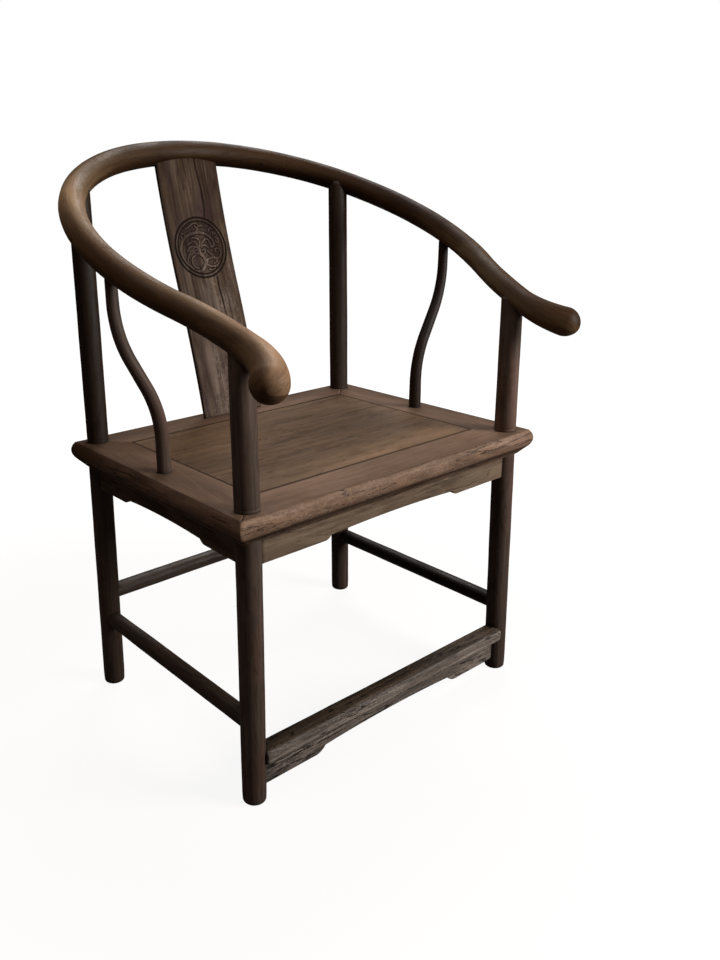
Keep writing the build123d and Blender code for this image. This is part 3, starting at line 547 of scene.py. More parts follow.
def frame_member(word, along_x, side, material, seed, fade=0.0):
    """One mitred member, its nose a little uneven from the plane; fade darkens it toward one end and paints
    shade on its faces below the top.
    """
    width, other = (END_MEMBER_W, SIDE_MEMBER_W) if along_x else (SIDE_MEMBER_W, END_MEMBER_W)
    inner, inner_end = (INNER_Y, INNER_X) if along_x else (INNER_X, INNER_Y)
    shape = frame_profile(width)
    depth = -shape[:, 0]
    end = inner_end + depth * other / width
    rows = []
    for f, capped in ((-1.0, True), *((f, False) for f in np.linspace(-1, 1, 120)), (1.0, True)):
        profile = shrink(shape, 0.9) if capped else shape
        along = f * (end if capped else end - MITRE_EASE)
        across, z = inner - profile[:, 0], SEAT_H + profile[:, 1]

        def lay(across):
            return gather(along, -across * side, z) if along_x else gather(across * side, along, z)

        planed = rise(across - inner, width - 4, 6) * (z < SEAT_H - 0.4)
        ring = lay(across + 0.3 * noise_at(22 * place(lay(across))) * planed)
        grain = gather(along, across, z - SEAT_H) + seed * np.array((500, 17, 3))
        brightness = 1 + 0.3 * fade - 1.3 * fade * soft_rise(f, 0.25, 0.75)
        # where fade is set, the faces below the top get painted shade
        tone = np.where(z < SEAT_H - 3, brightness - 0.5 * fade, brightness)
        inner_edge = bell(depth, 0, 2.6 if along_x else 1.7) * (z > SEAT_H - 3)
        nose_edge = 0.6 * bell(depth, width, 1.0) * (z > SEAT_H - 2.5)
        # painted shade in a band under the nose
        under_nose = 0.85 * bell(z, SEAT_H - NOSE_END, 2.0) * (depth > width - 8)
        cavity = np.maximum.reduce([inner_edge, nose_edge, under_nose, np.full(len(z), 0.75 * capped)])
        rows.append((ring, grain, cavity, tone))
    loft("seat_" + word + "_member", rows, material, "frame_wood", "seat_frame_" + word, joined=JOINED)


def seat_board(index, material, seed):
    """One board, its edges just broken so that the seams read as fine dark lines."""
    depth = 2 * INNER_Y / BOARDS
    low, high = index * depth - INNER_Y + BOARD_GAP, (index + 1) * depth - INNER_Y - BOARD_GAP
    under = SEAT_H - BOARD_T
    at_frame = (index == 0, index == BOARDS - 1)
    broken = [0.9 if meets else 0.35 for meets in at_frame]
    steps = 4
    outline = rounded_polygon([(low, under), (high, under), (high, SEAT_H), (low, SEAT_H)],
                              [0.2, 0.2, broken[1], broken[0]], steps)
    # more points over the flat top, so that it can be a little uneven
    beside = np.array((1.7, 3.0, 4.6))
    across = (*(high - beside), *np.linspace(high - 7, low + 7, 24), *(low + beside[::-1]))
    top = [(y, SEAT_H) for y in across]
    third_corner = 3 * (steps + 1)
    y, outline_z = np.vstack([outline[:third_corner], top, outline[third_corner:]]).T
    lines = [(1.0 if meets else 0.4) * bell(y, edge, 2.8 if meets else 0.5)
             for edge, meets in zip((low, high), at_frame)]
    half = INNER_X - BOARD_GAP
    ends = np.array((0.0, 0.25, 0.9, 1.8))
    rows = []
    on_top = outline_z > SEAT_H - 0.01
    for x in (*(ends - half), *np.linspace(3 - half, half - 3, 90), *(half - ends[::-1])):
        near = half - abs(x)
        z = np.where(outline_z > SEAT_H - 5, outline_z - 0.9 * rise(near, 0.9, -0.9) ** 2, outline_z)
        uneven = noise_at([(x * 0.02 + seed, v * 0.03, 0.0) for v in y]) * 0.12 - 0.12
        z = z + np.where(on_top & (near > 1), uneven, 0.0)
        ring = gather(x, y, z)
        grain = ring - (0, 0, SEAT_H) + seed * np.array((600, 29, 7))
        tone = 1.12 - 0.3 * rise(INNER_Y - np.abs(y), 0, 90) * rise(half - x, 0, 160)
        rows.append((ring, grain, np.maximum.reduce([*lines, np.full(len(y), bell(near, 0, 1.8))]), tone))
    number = str(index + 1)
    loft("seat_panel_" + number, rows, material, "seat_wood", "seat_board_" + number, joined=JOINED)


# ---- aprons ----
def arc_points(a, b, c, count):
    """Points from a through b to c on one circle."""
    centre, radius, (first, middle, last) = circle_through(a, b, c)
    half = count // 2
    return circle_points(centre, radius, [*np.linspace(first, middle, half, endpoint=False),
                                          *np.linspace(middle, last, count - half)])


def apron_edge(half, reach, end_h, cusp_rise, middle_h, width):
    """Lower edge of an apron from left to right: low ends, a cusp each side, a shallow arch."""
    top, inner = cusp_rise - end_h, reach - width
    turn_x, turn_z = reach - 0.6 * width, 0.25 * cusp_rise - end_h
    left = [(x, -end_h) for x in np.linspace(-half, -reach, 14)[:-1]]
    cusp = arc_points((-reach, -end_h), (-turn_x, turn_z), (-inner, top), 14)
    arch = arc_points((-inner, top), (0, -middle_h), (inner, top), 60)[1:-1]
    back = arc_points((inner, top), (turn_x, turn_z), (reach, -end_h), 14)
    right = [(x, -end_h) for x in np.linspace(reach, half, 14)[1:]]
    return np.array([*left, *cusp, *arch, *back, *right])


def apron(name, node, edge, origin, along, material, slot, seed, lit_edge=0.0):
    """A board over the given lower edge: origin is the middle of its face's top, along is its direction."""
    axes = np.array((along, (-along[1], along[0], 0), (0, 0, 1)))
    rows = []
    for x, low in edge:
        corners = [(0.0, low), (APRON_T, low), (APRON_T, 0.0), (0.0, 0.0)]
        face = [(0.0, z) for z in (-1.0, -2.5, -4.0, -5.5, -7.0, -9.0, *np.linspace(-12.0, low + 3, 4))]
        y, z = np.vstack([rounded_polygon(corners, [2.0, 1.0, 0.3, 0.3], 5), face]).T
        local = gather(x, y, z)
        cavity = np.where(z > -1.2, 0.75 * bell(z, 0, 1.3), 0.0)
        tone = 1 + lit_edge * bell(z, -5.5, 3.0)
        rows.append((origin + local @ axes, local + seed * np.array((450, 19, 5)), cavity, tone))
    loft(name, rows, material, slot, node, 0.12, seed, joined=JOINED)


# ---- back splat with its carved roundel ----
FOOT_LEAN, WAIST_LEAN, TOP_LEAN = 12.0, 18.0, 10.5  # degrees
WAIST_Z, SPLAT_TOP_Z, SPLAT_FOOT_Y = 690.0, 931.0, 206.5
LOW_R = (WAIST_Z - SEAT_H) / (sin(radians(WAIST_LEAN)) - sin(radians(FOOT_LEAN)))
HIGH_R = (SPLAT_TOP_Z - WAIST_Z) / (sin(radians(WAIST_LEAN)) - sin(radians(TOP_LEAN)))
SPLAT_ARCS = ((LOW_R, WAIST_LEAN - FOOT_LEAN), (HIGH_R, TOP_LEAN - WAIST_LEAN))
splat_path, SPLAT_L = turtle(radians(FOOT_LEAN), SPLAT_ARCS)
SPLAT_HALF, SPLAT_HALF_T = 64.0, 5.0  # half the width and thickness
SPLAT_ROLL = 1.6  # rounding of its long edges
ROUNDEL_X, ROUNDEL_S, ROUNDEL_R = -2.0, 307.6, 56.0  # middle across and up the splat, radius

# the coiled chi dragon, in hundredths of the roundel's radius. Each row is one line of it: half its width
# at the start and at the end, then the x and y of its points
DRAGON = (
    (5, 3.5, -62, -56, -74, -36, -78, -12, -74, 10, -62, 28, -40, 43, -13, 49, 13, 47.5, 34, 39, 48, 26,
     54, 10, 48, 0, 39, 3, 40, 13),
    (3, 3, -7, 49, 1, 62, 7, 50),
    (5.5, 6, -62, -56, -50, -70, -30, -77, -12, -74, 3, -61, 9, -44, 4, -30, -6, -20, -14, -14),
    (3.2, 3, -47, -18, -58, -34, -56, -52, -44, -65),
    (3.2, 2.8, -28, -24, -41, -33, -43, -50, -34, -62, -22, -66),
    (3.5, 2.8, -15, -1, -26, 5, -39, 5, -49, -3, -55, -10),
    (3.5, 2.5, -12, 4, -16, 16, -25, 22, -39, 17, -51, 11),
    (3.5, 2.5, -4, 5, 0, 20, -7, 30, -20, 33.5, -31, 31),
    (3.5, 2.8, 4, 8, 13, 20, 24, 27, 34, 24, 35, 16),
    (3, 2.6, -2, -18, 8, -20, 15, -13, 11, -6, 3, -8),
    (3.5, 3, 28, -2, 20, 6, 9, 6, 2, 0),
    (4, 3, 24, -12, 30, -20, 39, -26, 34, -37, 20, -38, 14, -50),
    (3.8, 2.8, 42, -55, 55, -46, 44, -35, 59, -38, 72, -29, 74, -14, 64, -6, 53, -10, 55, -19),
    (3.5, 3, 12, -57, 27, -62, 46, -63, 62, -53),
    (3.2, 2.6, -26, 72, -16, 79, -2, 79, 5, 70, -3, 64.5, -9, 70),
    (3, 2, -26, 72, -37, 66, -47, 62),
    (3, 2, 5, 70, 18, 71, 30, 66),
    (3, 2.4, -74, 40, -66, 49, -55, 46, -56, 36, -65, 34, -68, 40),
    (3, 2.4, 41, 52, 47, 60, 57, 58, 66, 52, 65, 43, 56, 42, 55, 49),
    (3, 2.4, 62, 31, 72, 26, 74, 15, 65, 13, 64, 20),
    (2.6, 2, 16, -72, 30, -75, 42, -70),
)
HEAD, EYE = (-0.17, -0.08, 0.15, 0.13), (-0.2, -0.075)  # middle and half sizes of the head; middle of the eye
RIM_GROOVES = ((0.858, 0.03, 1.4), (0.972, 0.032, 1.5))  # middle, half width, depth


def splat_at(s):
    """Middle of the splat's thickness: y, z and lean, by distance up from the seat."""
    levels, where = np.unique(s, return_inverse=True)
    spots = np.array([(*p, lean) for p, lean in map(splat_path, levels)])
    z, y, lean = np.moveaxis(spots[where.reshape(np.shape(s))], -1, 0)
    return SPLAT_FOOT_Y + y, SEAT_H + z, lean


def smooth_line(points):
    """A soft curve through a few points."""
    p = np.array(points, float)
    p = np.vstack([2 * p[0] - p[1], p, 2 * p[-1] - p[-2]])
    out = []
    for a, b, c, d in zip(p, p[1:], p[2:], p[3:]):
        for t in np.linspace(0, 1, 8, endpoint=False):
            out.append(0.5 * (2 * b + (c - a) * t + (2 * a - 5 * b + 4 * c - d) * t * t
                              + (3 * b - a - 3 * c + d) * t**3))
    return np.array([*out, p[-2]])


def dragon_relief(u, v):
    """How high the dragon stands above the cut ground, from 0 to 1, and how close its outline is."""
    relief = np.zeros_like(u)
    outside = np.full(u.shape, 9.0)
    for row in DRAGON:
        start_width, end_width, *line = (v / 100 for v in row)
        points = smooth_line(np.reshape(line, (-1, 2)))
        widths = np.linspace(start_width, end_width, len(points))
        distance = np.full(u.shape, 9.0)
        half = np.full(u.shape, start_width)
        for a, b, width in zip(points, points[1:], widths):
            run = b - a
            t = np.clip(((u - a[0]) * run[0] + (v - a[1]) * run[1]) / (run @ run), 0, 1)
            d = np.hypot(u - a[0] - t * run[0], v - a[1] - t * run[1])
            half = np.where(d < distance, width, half)
            distance = np.minimum(d, distance)
        relief = np.maximum(relief, np.clip(1.7 * np.sqrt(np.clip(1 - (distance / half) ** 2, 0, 1)), 0, 1))
        outside = np.minimum(outside, distance - half)
    eye = np.hypot(u - EYE[0], v - EYE[1])
    eye_ring = (eye > 0.04) & (eye < 0.075)
    head = np.clip(1.25 - np.hypot((u - HEAD[0]) / HEAD[2], (v - HEAD[1]) / HEAD[3]), 0, 1)
    relief = np.where(eye_ring, 0.05, np.maximum(relief, np.clip(2.2 * head, 0, 1)))
    # the ground is cut deepest along the outlines, as a carver sets them in first
    cut = np.where(relief < 0.5, bell(np.maximum(outside, 0), 0, 0.034), 0.0)
    return relief, np.maximum(cut, eye_ring)


def roundel_height(x, s):
    """Height of the carving over the board's face in millimetres, the painted shade in its hollows, and its
    wear with a painted highlight on the raised parts.
    """
    u, v = (x - ROUNDEL_X) / ROUNDEL_R, (s - ROUNDEL_S) / ROUNDEL_R
    r = np.hypot(u, v)
    ground = 1 / (1 + np.exp(np.minimum(r - 0.83, 1) / 0.006))
    relief, outline = np.zeros_like(u), np.zeros_like(u)
    inside = r < 0.9
    relief[inside], outline[inside] = dragon_relief(u[inside], v[inside])

    def groove(middle, half, depth):
        return depth * np.clip(1 - ((r - middle) / half) ** 2, 0, 1)

    height = -ground * (1 - relief) * (0.95 + 0.55 * outline) - sum(groove(*rim) for rim in RIM_GROOVES)
    rims = np.maximum(groove(RIM_GROOVES[0][0], 0.045, 1.0), groove(RIM_GROOVES[1][0], 0.05, 1.0)) ** 0.7
    # painted shade in the cut ground, along the outlines and in the rim grooves
    shade = np.maximum(ground * (1 - relief) * (0.2 + 0.8 * outline), rims)
    # wear, and a painted highlight, on the raised dragon and on the band between the rim grooves
    worn = 1 + 0.3 * ground * relief + 0.15 * bell(r, 0.915, 0.02)
    return height, np.clip(shade, 0, 1), worn


def board_noise(x, s, across, along, shift, level):
    """Slow noise over a grid, worked out on every sixth column and filled in between."""
    few = x[::6]
    rows = [noise_at([(a * across + shift, b * along, level) for a in few]) for b in s]
    return np.array([np.interp(x, few, row) for row in rows])


def edge_roll(x):
    """How far the board's face falls back beside its long edges."""
    edge = SPLAT_HALF - np.abs(x)
    rolled = SPLAT_ROLL - np.sqrt(np.clip(SPLAT_ROLL**2 - (SPLAT_ROLL - edge) ** 2, 0, None))
    return np.where(edge < SPLAT_ROLL, rolled, 0.0)


def splat_tone(x, s, gx, gs, worn):
    """Dark growth lines, and the tone around them: one strong wavy line, and duller wood to its right."""

    def along(place_x, rate, level):
        return noise_at([(place_x, b * rate, level) for b in s])[:, None]

    sway = along(0.0, 0.013, 4.7) + 0.25 * along(3.0, 0.05, 1.1)
    line_x = 20.0 + 7.0 * sway
    strong = np.clip(0.75 + 0.6 * along(8.0, 0.02, 2.0), 0.3, 1)
    past_roundel = rise(np.hypot(gx - ROUNDEL_X, gs - ROUNDEL_S), ROUNDEL_R, 3)
    line = np.clip(1.6 * bell(gx, line_x, 1.7) * strong, 0, 1) * past_roundel
    second = 0.45 * bell(gx, line_x + 15 + 5 * sway[::-1], 1.2) * past_roundel
    rim = bell(gx, line_x + 4.2, 1.6) + 0.7 * bell(gx, line_x - 4.2, 1.6)
    tone = worn * (1 - 0.2 / (1 + np.exp(-(gx - line_x) / 1.2)) + 0.22 * rim * past_roundel)
    tone *= (0.75 + 0.25 * rise(gx, -62, 16)) * (1 + 0.5 * board_noise(x, s, 0.045, 0.022, 0.0, 9.1))
    return np.maximum(line, second), tone * (0.54 + 0.5 * rise(gs, 430, -330))


def make_splat(material, seed):
    """Both faces of the board, the front on a fine grid, and its two long edges."""
    half, end = SPLAT_HALF, SPLAT_L - 6.0
    # close together over the roundel
    x = np.concatenate([np.linspace(-half, -59, 4), np.linspace(-58.6, 54.6, 268), np.linspace(55, half, 5)])
    s = np.concatenate([np.linspace(0, 246, 62), np.linspace(250, 365.5, 272), np.linspace(369, end, 28)])
    gx, gs = np.meshgrid(x, s)
    height, shade, worn = roundel_height(gx, gs)
    lines, tone = splat_tone(x, s, gx, gs, worn)
    wave = board_noise(x, s, 0.03, 0.012, seed, 0.0) * 0.22 - 0.22
    front = SPLAT_HALF_T + height - edge_roll(gx) + wave
    bx = np.concatenate([np.linspace(-half, -62.4, 6), np.linspace(-60, 60, 21), np.linspace(62.4, half, 6)])
    hx, hs = np.meshgrid(bx, np.linspace(0, end, 110))
    side_depths = np.linspace(3.5, -3.5, 5)[:, None]
    rows, faces, start = [], [], 0
    # across, up and forward of each patch, its cavity and tone, and whether its faces turn round
    for across, up, forward, *stored, turned in (
            (gx, gs, front, np.maximum(shade, lines).ravel(), tone.ravel(), True),
            (hx, hs, edge_roll(hx) - SPLAT_HALF_T, 0.0, 0.8, False),
            (-half, hs[:, 0], side_depths, 0.0, 0.8, True), (half, hs[:, 0], side_depths, 0.0, 0.8, False)):
        across, up, forward = np.broadcast_arrays(across, up, forward)
        quads = grid_faces(*across.shape, start=start)
        faces += [f[::-1] for f in quads] if turned else quads
        start += across.size
        y, z, lean = splat_at(up)
        points = gather(across, y - np.cos(lean) * forward, z + np.sin(lean) * forward)
        grain = gather(up, across + 71, forward) + (seed * 300, 0, seed)
        rows.append((points.reshape(-1, 3), grain.reshape(-1, 3), *stored))
    make_piece("back_splat_carved", rows, faces, material, "splat_wood", "back_splat")


# ---- materials ----
class Tree:
    """Writes a node tree in few lines. A node's inputs, by name or number, are sockets or plain values."""

    def __init__(self, owner):
        owner.use_nodes = True
        self.owner = owner
        self.tree = owner.node_tree
        self.tree.nodes.clear()

    def add(self, kind, inputs=None, **settings):
        node = self.tree.nodes.new("ShaderNode" + kind)
        for key, value in settings.items():
            setattr(node, key, value)
        for key, value in (inputs or {}).items():
            if isinstance(value, bpy.types.NodeSocket):
                self.tree.links.new(value, node.inputs[key])
            else:
                node.inputs[key].default_value = value
        return node

    def out(self, kind, inputs=None, **settings):
        """A new node's first output."""
        return self.add(kind, inputs, **settings).outputs[0]

    def math(self, op, a, b=0.0):
        return self.out("Math", {0: a, 1: b}, operation=op)

    def plus(self, a, b):
        return self.math("ADD", a, b)

    def minus(self, a, b):
        return self.math("SUBTRACT", a, b)

    def product(self, *factors):
        out = factors[0]
        for factor in factors[1:]:
            out = self.math("MULTIPLY", out, factor)
        return out

    def coat(self, colour, paint, *amounts):
        """Lays a plain colour over another, by the product of the amounts."""
        inputs = {0: self.product(*amounts), 6: colour, 7: (*paint, 1)}
        return self.add("Mix", inputs, data_type="RGBA").outputs[2]

    def ramp(self, value, low, high, out_low=0.0, out_high=1.0, kind="SMOOTHSTEP"):
        inputs = {"Value": value, "From Min": low, "From Max": high, "To Min": out_low, "To Max": out_high}
        return self.out("MapRange", inputs, interpolation_type=kind)

    def split(self, vector):
        return self.add("SeparateXYZ", {0: vector}).outputs

    def stored(self, name, output):
        """What a piece stores on its vertices under the given name."""
        return self.add("Attribute", attribute_name=name).outputs[output]


PITH = (0.11, 0.07)  # the heart of the tree lies this far off, across the grain


def wood(name, dark, mid, light, patch, patch_share=0.4, figure=0.6, rings=170.0, streak=0.6, grainy=0.5,
         pale_pores=0.0, veins=0.4, vein_width=0.014, curl=0.0, smooth_top=0.0, rough=0.5, wear=0.3,
         painted_corner_shade=0.6, spec=0.2, seed=0.0, axis=None):
    """Old dark hardwood: growth figure, streaks, pores, dark veins, patches, worn edges, painted shade in
    corners.

    It follows what the piece stores on its vertices or, where axis lists the object's axes with the one
    along the grain first, the object's own coordinates.
    """
    t = Tree(bpy.data.materials.new(name))
    if axis is None:
        coords = t.stored("grain", "Vector")
    else:
        parts = t.split(t.add("TexCoord").outputs["Object"])
        coords = t.out("CombineXYZ", {i: parts[source] for i, source in enumerate(axis)})

    def lines(along, across, offset, detail=3.0, roughness=0.6, distortion=0.0):
        """Noise drawn out along the grain."""
        scale = (along, across, across)
        drawn = t.out("Mapping", {"Vector": coords, "Location": offset, "Scale": scale})
        return t.out("TexNoise", {"Vector": drawn, "Scale": 1.0, "Detail": detail, "Roughness": roughness,
                                  "Distortion": distortion})

    def shaded(colour, share):
        return [min(1, share * c) for c in colour]

    # slow bends of the grain lines
    bend = lines(3.2, 11.0, (seed, seed * 0.7, 0), 2.0, 0.5)
    ripple = lines(11.0, 30.0, (seed * 1.3, 0, seed), 2.0, 0.5)
    shift = t.plus(t.product(t.minus(bend, 0.5), 0.085), t.product(t.minus(ripple, 0.5), 0.016))
    # growth rings: distance from the heart of the tree
    _, across_y, across_z = t.split(coords)
    dy = t.plus(t.plus(across_y, PITH[0]), shift)
    dz = t.plus(across_z, PITH[1])
    distance = t.math("SQRT", t.plus(t.product(dy, dy), t.product(dz, dz)))
    ring_noise = t.add("TexNoise", {"W": t.product(distance, rings), "Scale": 1.0, "Detail": 3.0,
                                    "Roughness": 0.65}, noise_dimensions="1D")
    band = t.ramp(ring_noise.outputs["Fac"], 0.36, 0.66)
    # streaks, fibres and pores, long along the grain
    fibre = lines(6.5, 170.0, (0, seed, 0), 4.0, 0.6, 0.25)
    fine = lines(30.0, 1000.0, (seed, 0, 0), 2.0)
    pores = t.ramp(lines(95.0, 1500.0, (0, 0, seed), 1.0, 0.5), 0.62, 0.70)
    # thin dark lines that follow the figure
    off_line = t.minus(lines(4.0, 46.0, (seed * 2.1, seed, 1.0), 3.5, 0.58, 0.4), 0.52)
    vein = t.minus(1.0, t.ramp(t.math("ABSOLUTE", off_line), 0.1 * vein_width, vein_width))
    patches = lines(6.0, 22.0, (seed * 0.4, 3.0, seed), 4.0)
    blotch = lines(16.0, 34.0, (seed * 1.9, 5.0, 0))
    cloud = lines(3.5, 13.0, (seed * 0.8, 1.0, seed * 0.3), 3.0, 0.55)
    # a rubbed top shows less of the figure, and hardly any pores
    normal = t.add("NewGeometry").outputs["Normal"]
    rubbed, figured = 1.0, 1.0
    if smooth_top > 0:
        facing_up = t.split(normal)[2]
        rubbed = t.ramp(facing_up, 0.75, 0.97, 1.0, 1.0 - smooth_top)
        figured = t.ramp(facing_up, 0.75, 0.97, 1.0, 1.0 - 0.65 * smooth_top)
    coats = [(dark, band, figure, figured), (light, t.ramp(fibre, 0.46, 0.7, 0.0, streak), figured),
             (patch, t.ramp(patches, 0.5, 0.66, 0.0, patch_share)),
             (dark, t.ramp(blotch, 0.52, 0.74, 0.0, 0.4), figured),
             (dark, t.ramp(fine, 0.52, 0.8, 0.0, 0.7 * grainy), rubbed),
             (shaded(dark, 0.4), pores, grainy, rubbed), (shaded(dark, 0.35), vein, veins, rubbed)]
    if curl > 0:
        curly = t.minus(lines(75.0, 110.0, (seed, 2.0, 4.0), 3.0, 0.6, 1.3), 0.5)
        squiggle = t.ramp(t.math("ABSOLUTE", curly), 0.012, 0.06, 1.0, 0.0)
        coats.append((shaded(light, 1.25), squiggle, t.ramp(cloud, 0.42, 0.6), rubbed, curl))
    if pale_pores > 0:
        pale = t.ramp(lines(170.0, 900.0, (seed, 7.0, 2.0), 2.0), 0.54, 0.68)
        where_pale = t.ramp(lines(9.0, 30.0, (4.0, seed, 1.0)), 0.42, 0.6)
        coats.append(((0.33, 0.26, 0.205), pale, where_pale, rubbed, pale_pores))
    colour = (*mid, 1)
    for coat in coats:
        colour = t.coat(colour, *coat)
    # broad light and dark areas, and the tone that the piece stores on its vertices, on many pieces painted
    # light and shade
    area = t.ramp(cloud, 0.3, 0.7, 0.78, 1.24, "LINEAR")
    colour = t.out("VectorMath", {0: colour, "Scale": area}, operation="SCALE")
    if axis is None:
        stored_tone = t.stored("tone", "Vector")
        colour = t.out("VectorMath", {0: colour, 1: stored_tone}, operation="MULTIPLY")
    # worn edges, found from the rounded normal, and painted shade where surfaces meet, found from ambient
    # occlusion
    rounded = t.out("Bevel", {"Radius": 0.0032}, samples=4)
    facing = t.add("VectorMath", {0: rounded, 1: normal}, operation="DOT_PRODUCT").outputs["Value"]
    occlusion = t.add("AmbientOcclusion", {"Distance": 0.014}, samples=5)
    corner = t.ramp(occlusion.outputs["AO"], 0.82, 0.38)
    edge = (t.ramp(facing, 0.985, 0.86), t.ramp(fibre, 0.35, 0.6, 0.3, 1.0), t.minus(1.0, corner))
    cavity = t.stored("cavity", "Fac")
    colour = t.coat(colour, shaded(light, 1.5), *edge, wear)
    # painted shade in corners and where surfaces meet
    colour = t.coat(colour, shaded(dark, 0.25), corner, painted_corner_shade)
    # dark joint and grain lines, and painted shade in hollows, from the cavity the piece stores
    colour = t.coat(colour, shaded(dark, 0.3), cavity, 0.95)
    roughness = t.plus(t.ramp(blotch, 0.3, 0.7, rough - 0.07, rough + 0.09), t.product(pores, 0.15))
    roughness = t.plus(roughness, t.product(cavity, 0.3))
    height = t.plus(t.product(fibre, 0.5), t.product(fine, 0.4 * grainy))
    for hollow, depth in ((pores, 0.9 * grainy), (vein, 0.8 * veins), (band, 0.3 * figure)):
        height = t.minus(height, t.product(hollow, depth))
    bump = t.add("Bump", {"Strength": 0.4 + 0.5 * grainy, "Distance": 0.0004, "Height": height,
                          **({} if axis is None else {"Normal": rounded})})
    surface = t.add("BsdfPrincipled", {"Base Color": colour, "Roughness": roughness,
                                       "Specular IOR Level": spec, "Normal": bump.outputs[0]})
    t.add("OutputMaterial", {0: surface.outputs[0]})
    return t.owner


def toned(look, tone, warm=1.0):
    """The same wood, lighter or darker: as boards of one chair differ, and, for the side aprons, as painted
    shade.
    """
    out = dict(look)
    for key in ("dark", "mid", "light", "patch"):
        out[key] = tuple(min(0.9, c * tone * share) for c, share in zip(look[key], (warm, 1, 1 / warm)))
    return out


# ---- the woods ----
RAIL = dict(dark=(0.055, 0.027, 0.013), mid=(0.14, 0.086, 0.045), light=(0.195, 0.13, 0.073),
            patch=(0.172, 0.118, 0.062), figure=0.5, rings=160.0, streak=0.4, grainy=0.08, veins=0.15,
            rough=0.55, wear=0.2, patch_share=0.5, spec=0.11)
SPLAT = dict(dark=(0.036, 0.022, 0.018), mid=(0.112, 0.076, 0.057), light=(0.19, 0.145, 0.112),
             patch=(0.062, 0.036, 0.038), figure=0.6, rings=95.0, streak=0.75, grainy=0.25, veins=0.3,
             vein_width=0.02, rough=0.66, wear=0.3, patch_share=0.85, painted_corner_shade=0.75, curl=0.9, spec=0.05)
SEAT = dict(dark=(0.055, 0.028, 0.014), mid=(0.136, 0.079, 0.041), light=(0.2, 0.124, 0.07),
            patch=(0.178, 0.104, 0.06), figure=0.5, rings=70.0, streak=0.45, grainy=0.12, veins=0.6,
            rough=0.54, wear=0.25, spec=0.12)
FRAME = dict(dark=(0.06, 0.033, 0.02), mid=(0.2, 0.118, 0.074), light=(0.27, 0.174, 0.116),
             patch=(0.245, 0.145, 0.1), figure=0.55, rings=100.0, streak=0.4, grainy=0.5, veins=0.8,
             vein_width=0.024, rough=0.55, wear=0.4, patch_share=0.5, curl=0.3, smooth_top=0.85, spec=0.1)
APRON = dict(dark=(0.05, 0.031, 0.019), mid=(0.158, 0.107, 0.069), light=(0.23, 0.17, 0.117),
             patch=(0.185, 0.134, 0.087), figure=0.55, rings=130.0, grainy=0.45, veins=0.5, rough=0.58,
             wear=0.35, patch_share=0.45, spec=0.14)
LEG = dict(dark=(0.017, 0.0088, 0.0058), mid=(0.055, 0.036, 0.026), light=(0.09, 0.067, 0.051),
           patch=(0.072, 0.033, 0.022), figure=0.5, rings=170.0, streak=0.5, grainy=0.25, veins=0.35,
           rough=0.52, wear=0.2, patch_share=0.5, spec=0.25)
FOOT = dict(dark=(0.022, 0.016, 0.013), mid=(0.09, 0.072, 0.06), light=(0.22, 0.188, 0.16),
            patch=(0.15, 0.124, 0.1), figure=0.55, rings=150.0, streak=0.7, grainy=0.85, veins=1.0,
            vein_width=0.022, rough=0.58, wear=0.5, patch_share=0.5, pale_pores=0.7, spec=0.16)

# ---- the pieces ----
make_rail(wood("rail_bent_wood", **RAIL, seed=2.3))
make_pegs(wood("peg_wood", **toned(RAIL, 0.85), seed=6.4))
make_splat(wood("splat_board_wood", **SPLAT, seed=2.0), 2.0)

front_leg_wood = wood("leg_wood_a", **LEG, seed=1.5)
rear_leg_wood = wood("leg_wood_b", **LEG, seed=7.7)
# painted light and shade on each leg, below and above the seat: lighter at the front, darker at the back,
# darkest on the rear posts
make_leg(True, -1, (1.2, 1.45), front_leg_wood, 1.0)
make_leg(True, 1, (1.1, 1.65), front_leg_wood, 2.0)
make_leg(False, -1, (0.72, 0.25), rear_leg_wood, 3.0)
make_leg(False, 1, (0.75, 0.45), rear_leg_wood, 4.0)
side_post_wood = wood("side_post_wood", **toned(LEG, 0.75), seed=4.1)
# painted light on the left side post, painted shade on the right one
make_side_post("left", -1, 1.8, side_post_wood, 4.5)
make_side_post("right", 1, 0.33, side_post_wood, 6.5)
stretcher_wood = wood("stretcher_wood", **toned(LEG, 0.75), seed=9.2)
rear_stretcher_wood = wood("rear_stretcher_wood", **toned(LEG, 1.55, 0.95), seed=6.2, pale_pores=0.3)
# painted shade on the side stretchers, deepest on the right one
for word, side, shade in (("left", -1, 0.72), ("right", 1, 0.2)):
    ends = [leg_axis(front, side, SIDE_STRETCHER_Z) for front in (True, False)]
    make_stretcher("side_stretcher_bar_" + word, "side_stretcher_" + word, *ends, shade, stretcher_wood,
                   10.0 + side)
ends = [leg_axis(False, side, REAR_STRETCHER_Z) for side in (-1, 1)]
make_stretcher("rear_stretcher_bar", "rear_stretcher", *ends, 1.0, rear_stretcher_wood, 13.0)
make_foot_rest(wood("foot_rest_bar_wood", **FOOT, seed=3.3), 4.4)

front_frame_wood = wood("frame_wood_front", **FRAME, seed=5.0, pale_pores=0.75)
frame_wood = wood("frame_wood_side", **toned(FRAME, 0.8), seed=8.0, pale_pores=0.25)
frame_member("front", True, 1, front_frame_wood, 1.0)
frame_member("back", True, -1, frame_wood, 2.0)
frame_member("right", False, 1, frame_wood, 3.0)
frame_member("left", False, -1, frame_wood, 4.0, fade=0.45)
for index, tone in enumerate((1.0, 0.93, 0.97)):
    board_wood = wood("seat_board_wood_" + str(index + 1), **toned(SEAT, tone), seed=11.0 + 2.3 * index)
    seat_board(index, board_wood, 1.0 + index)

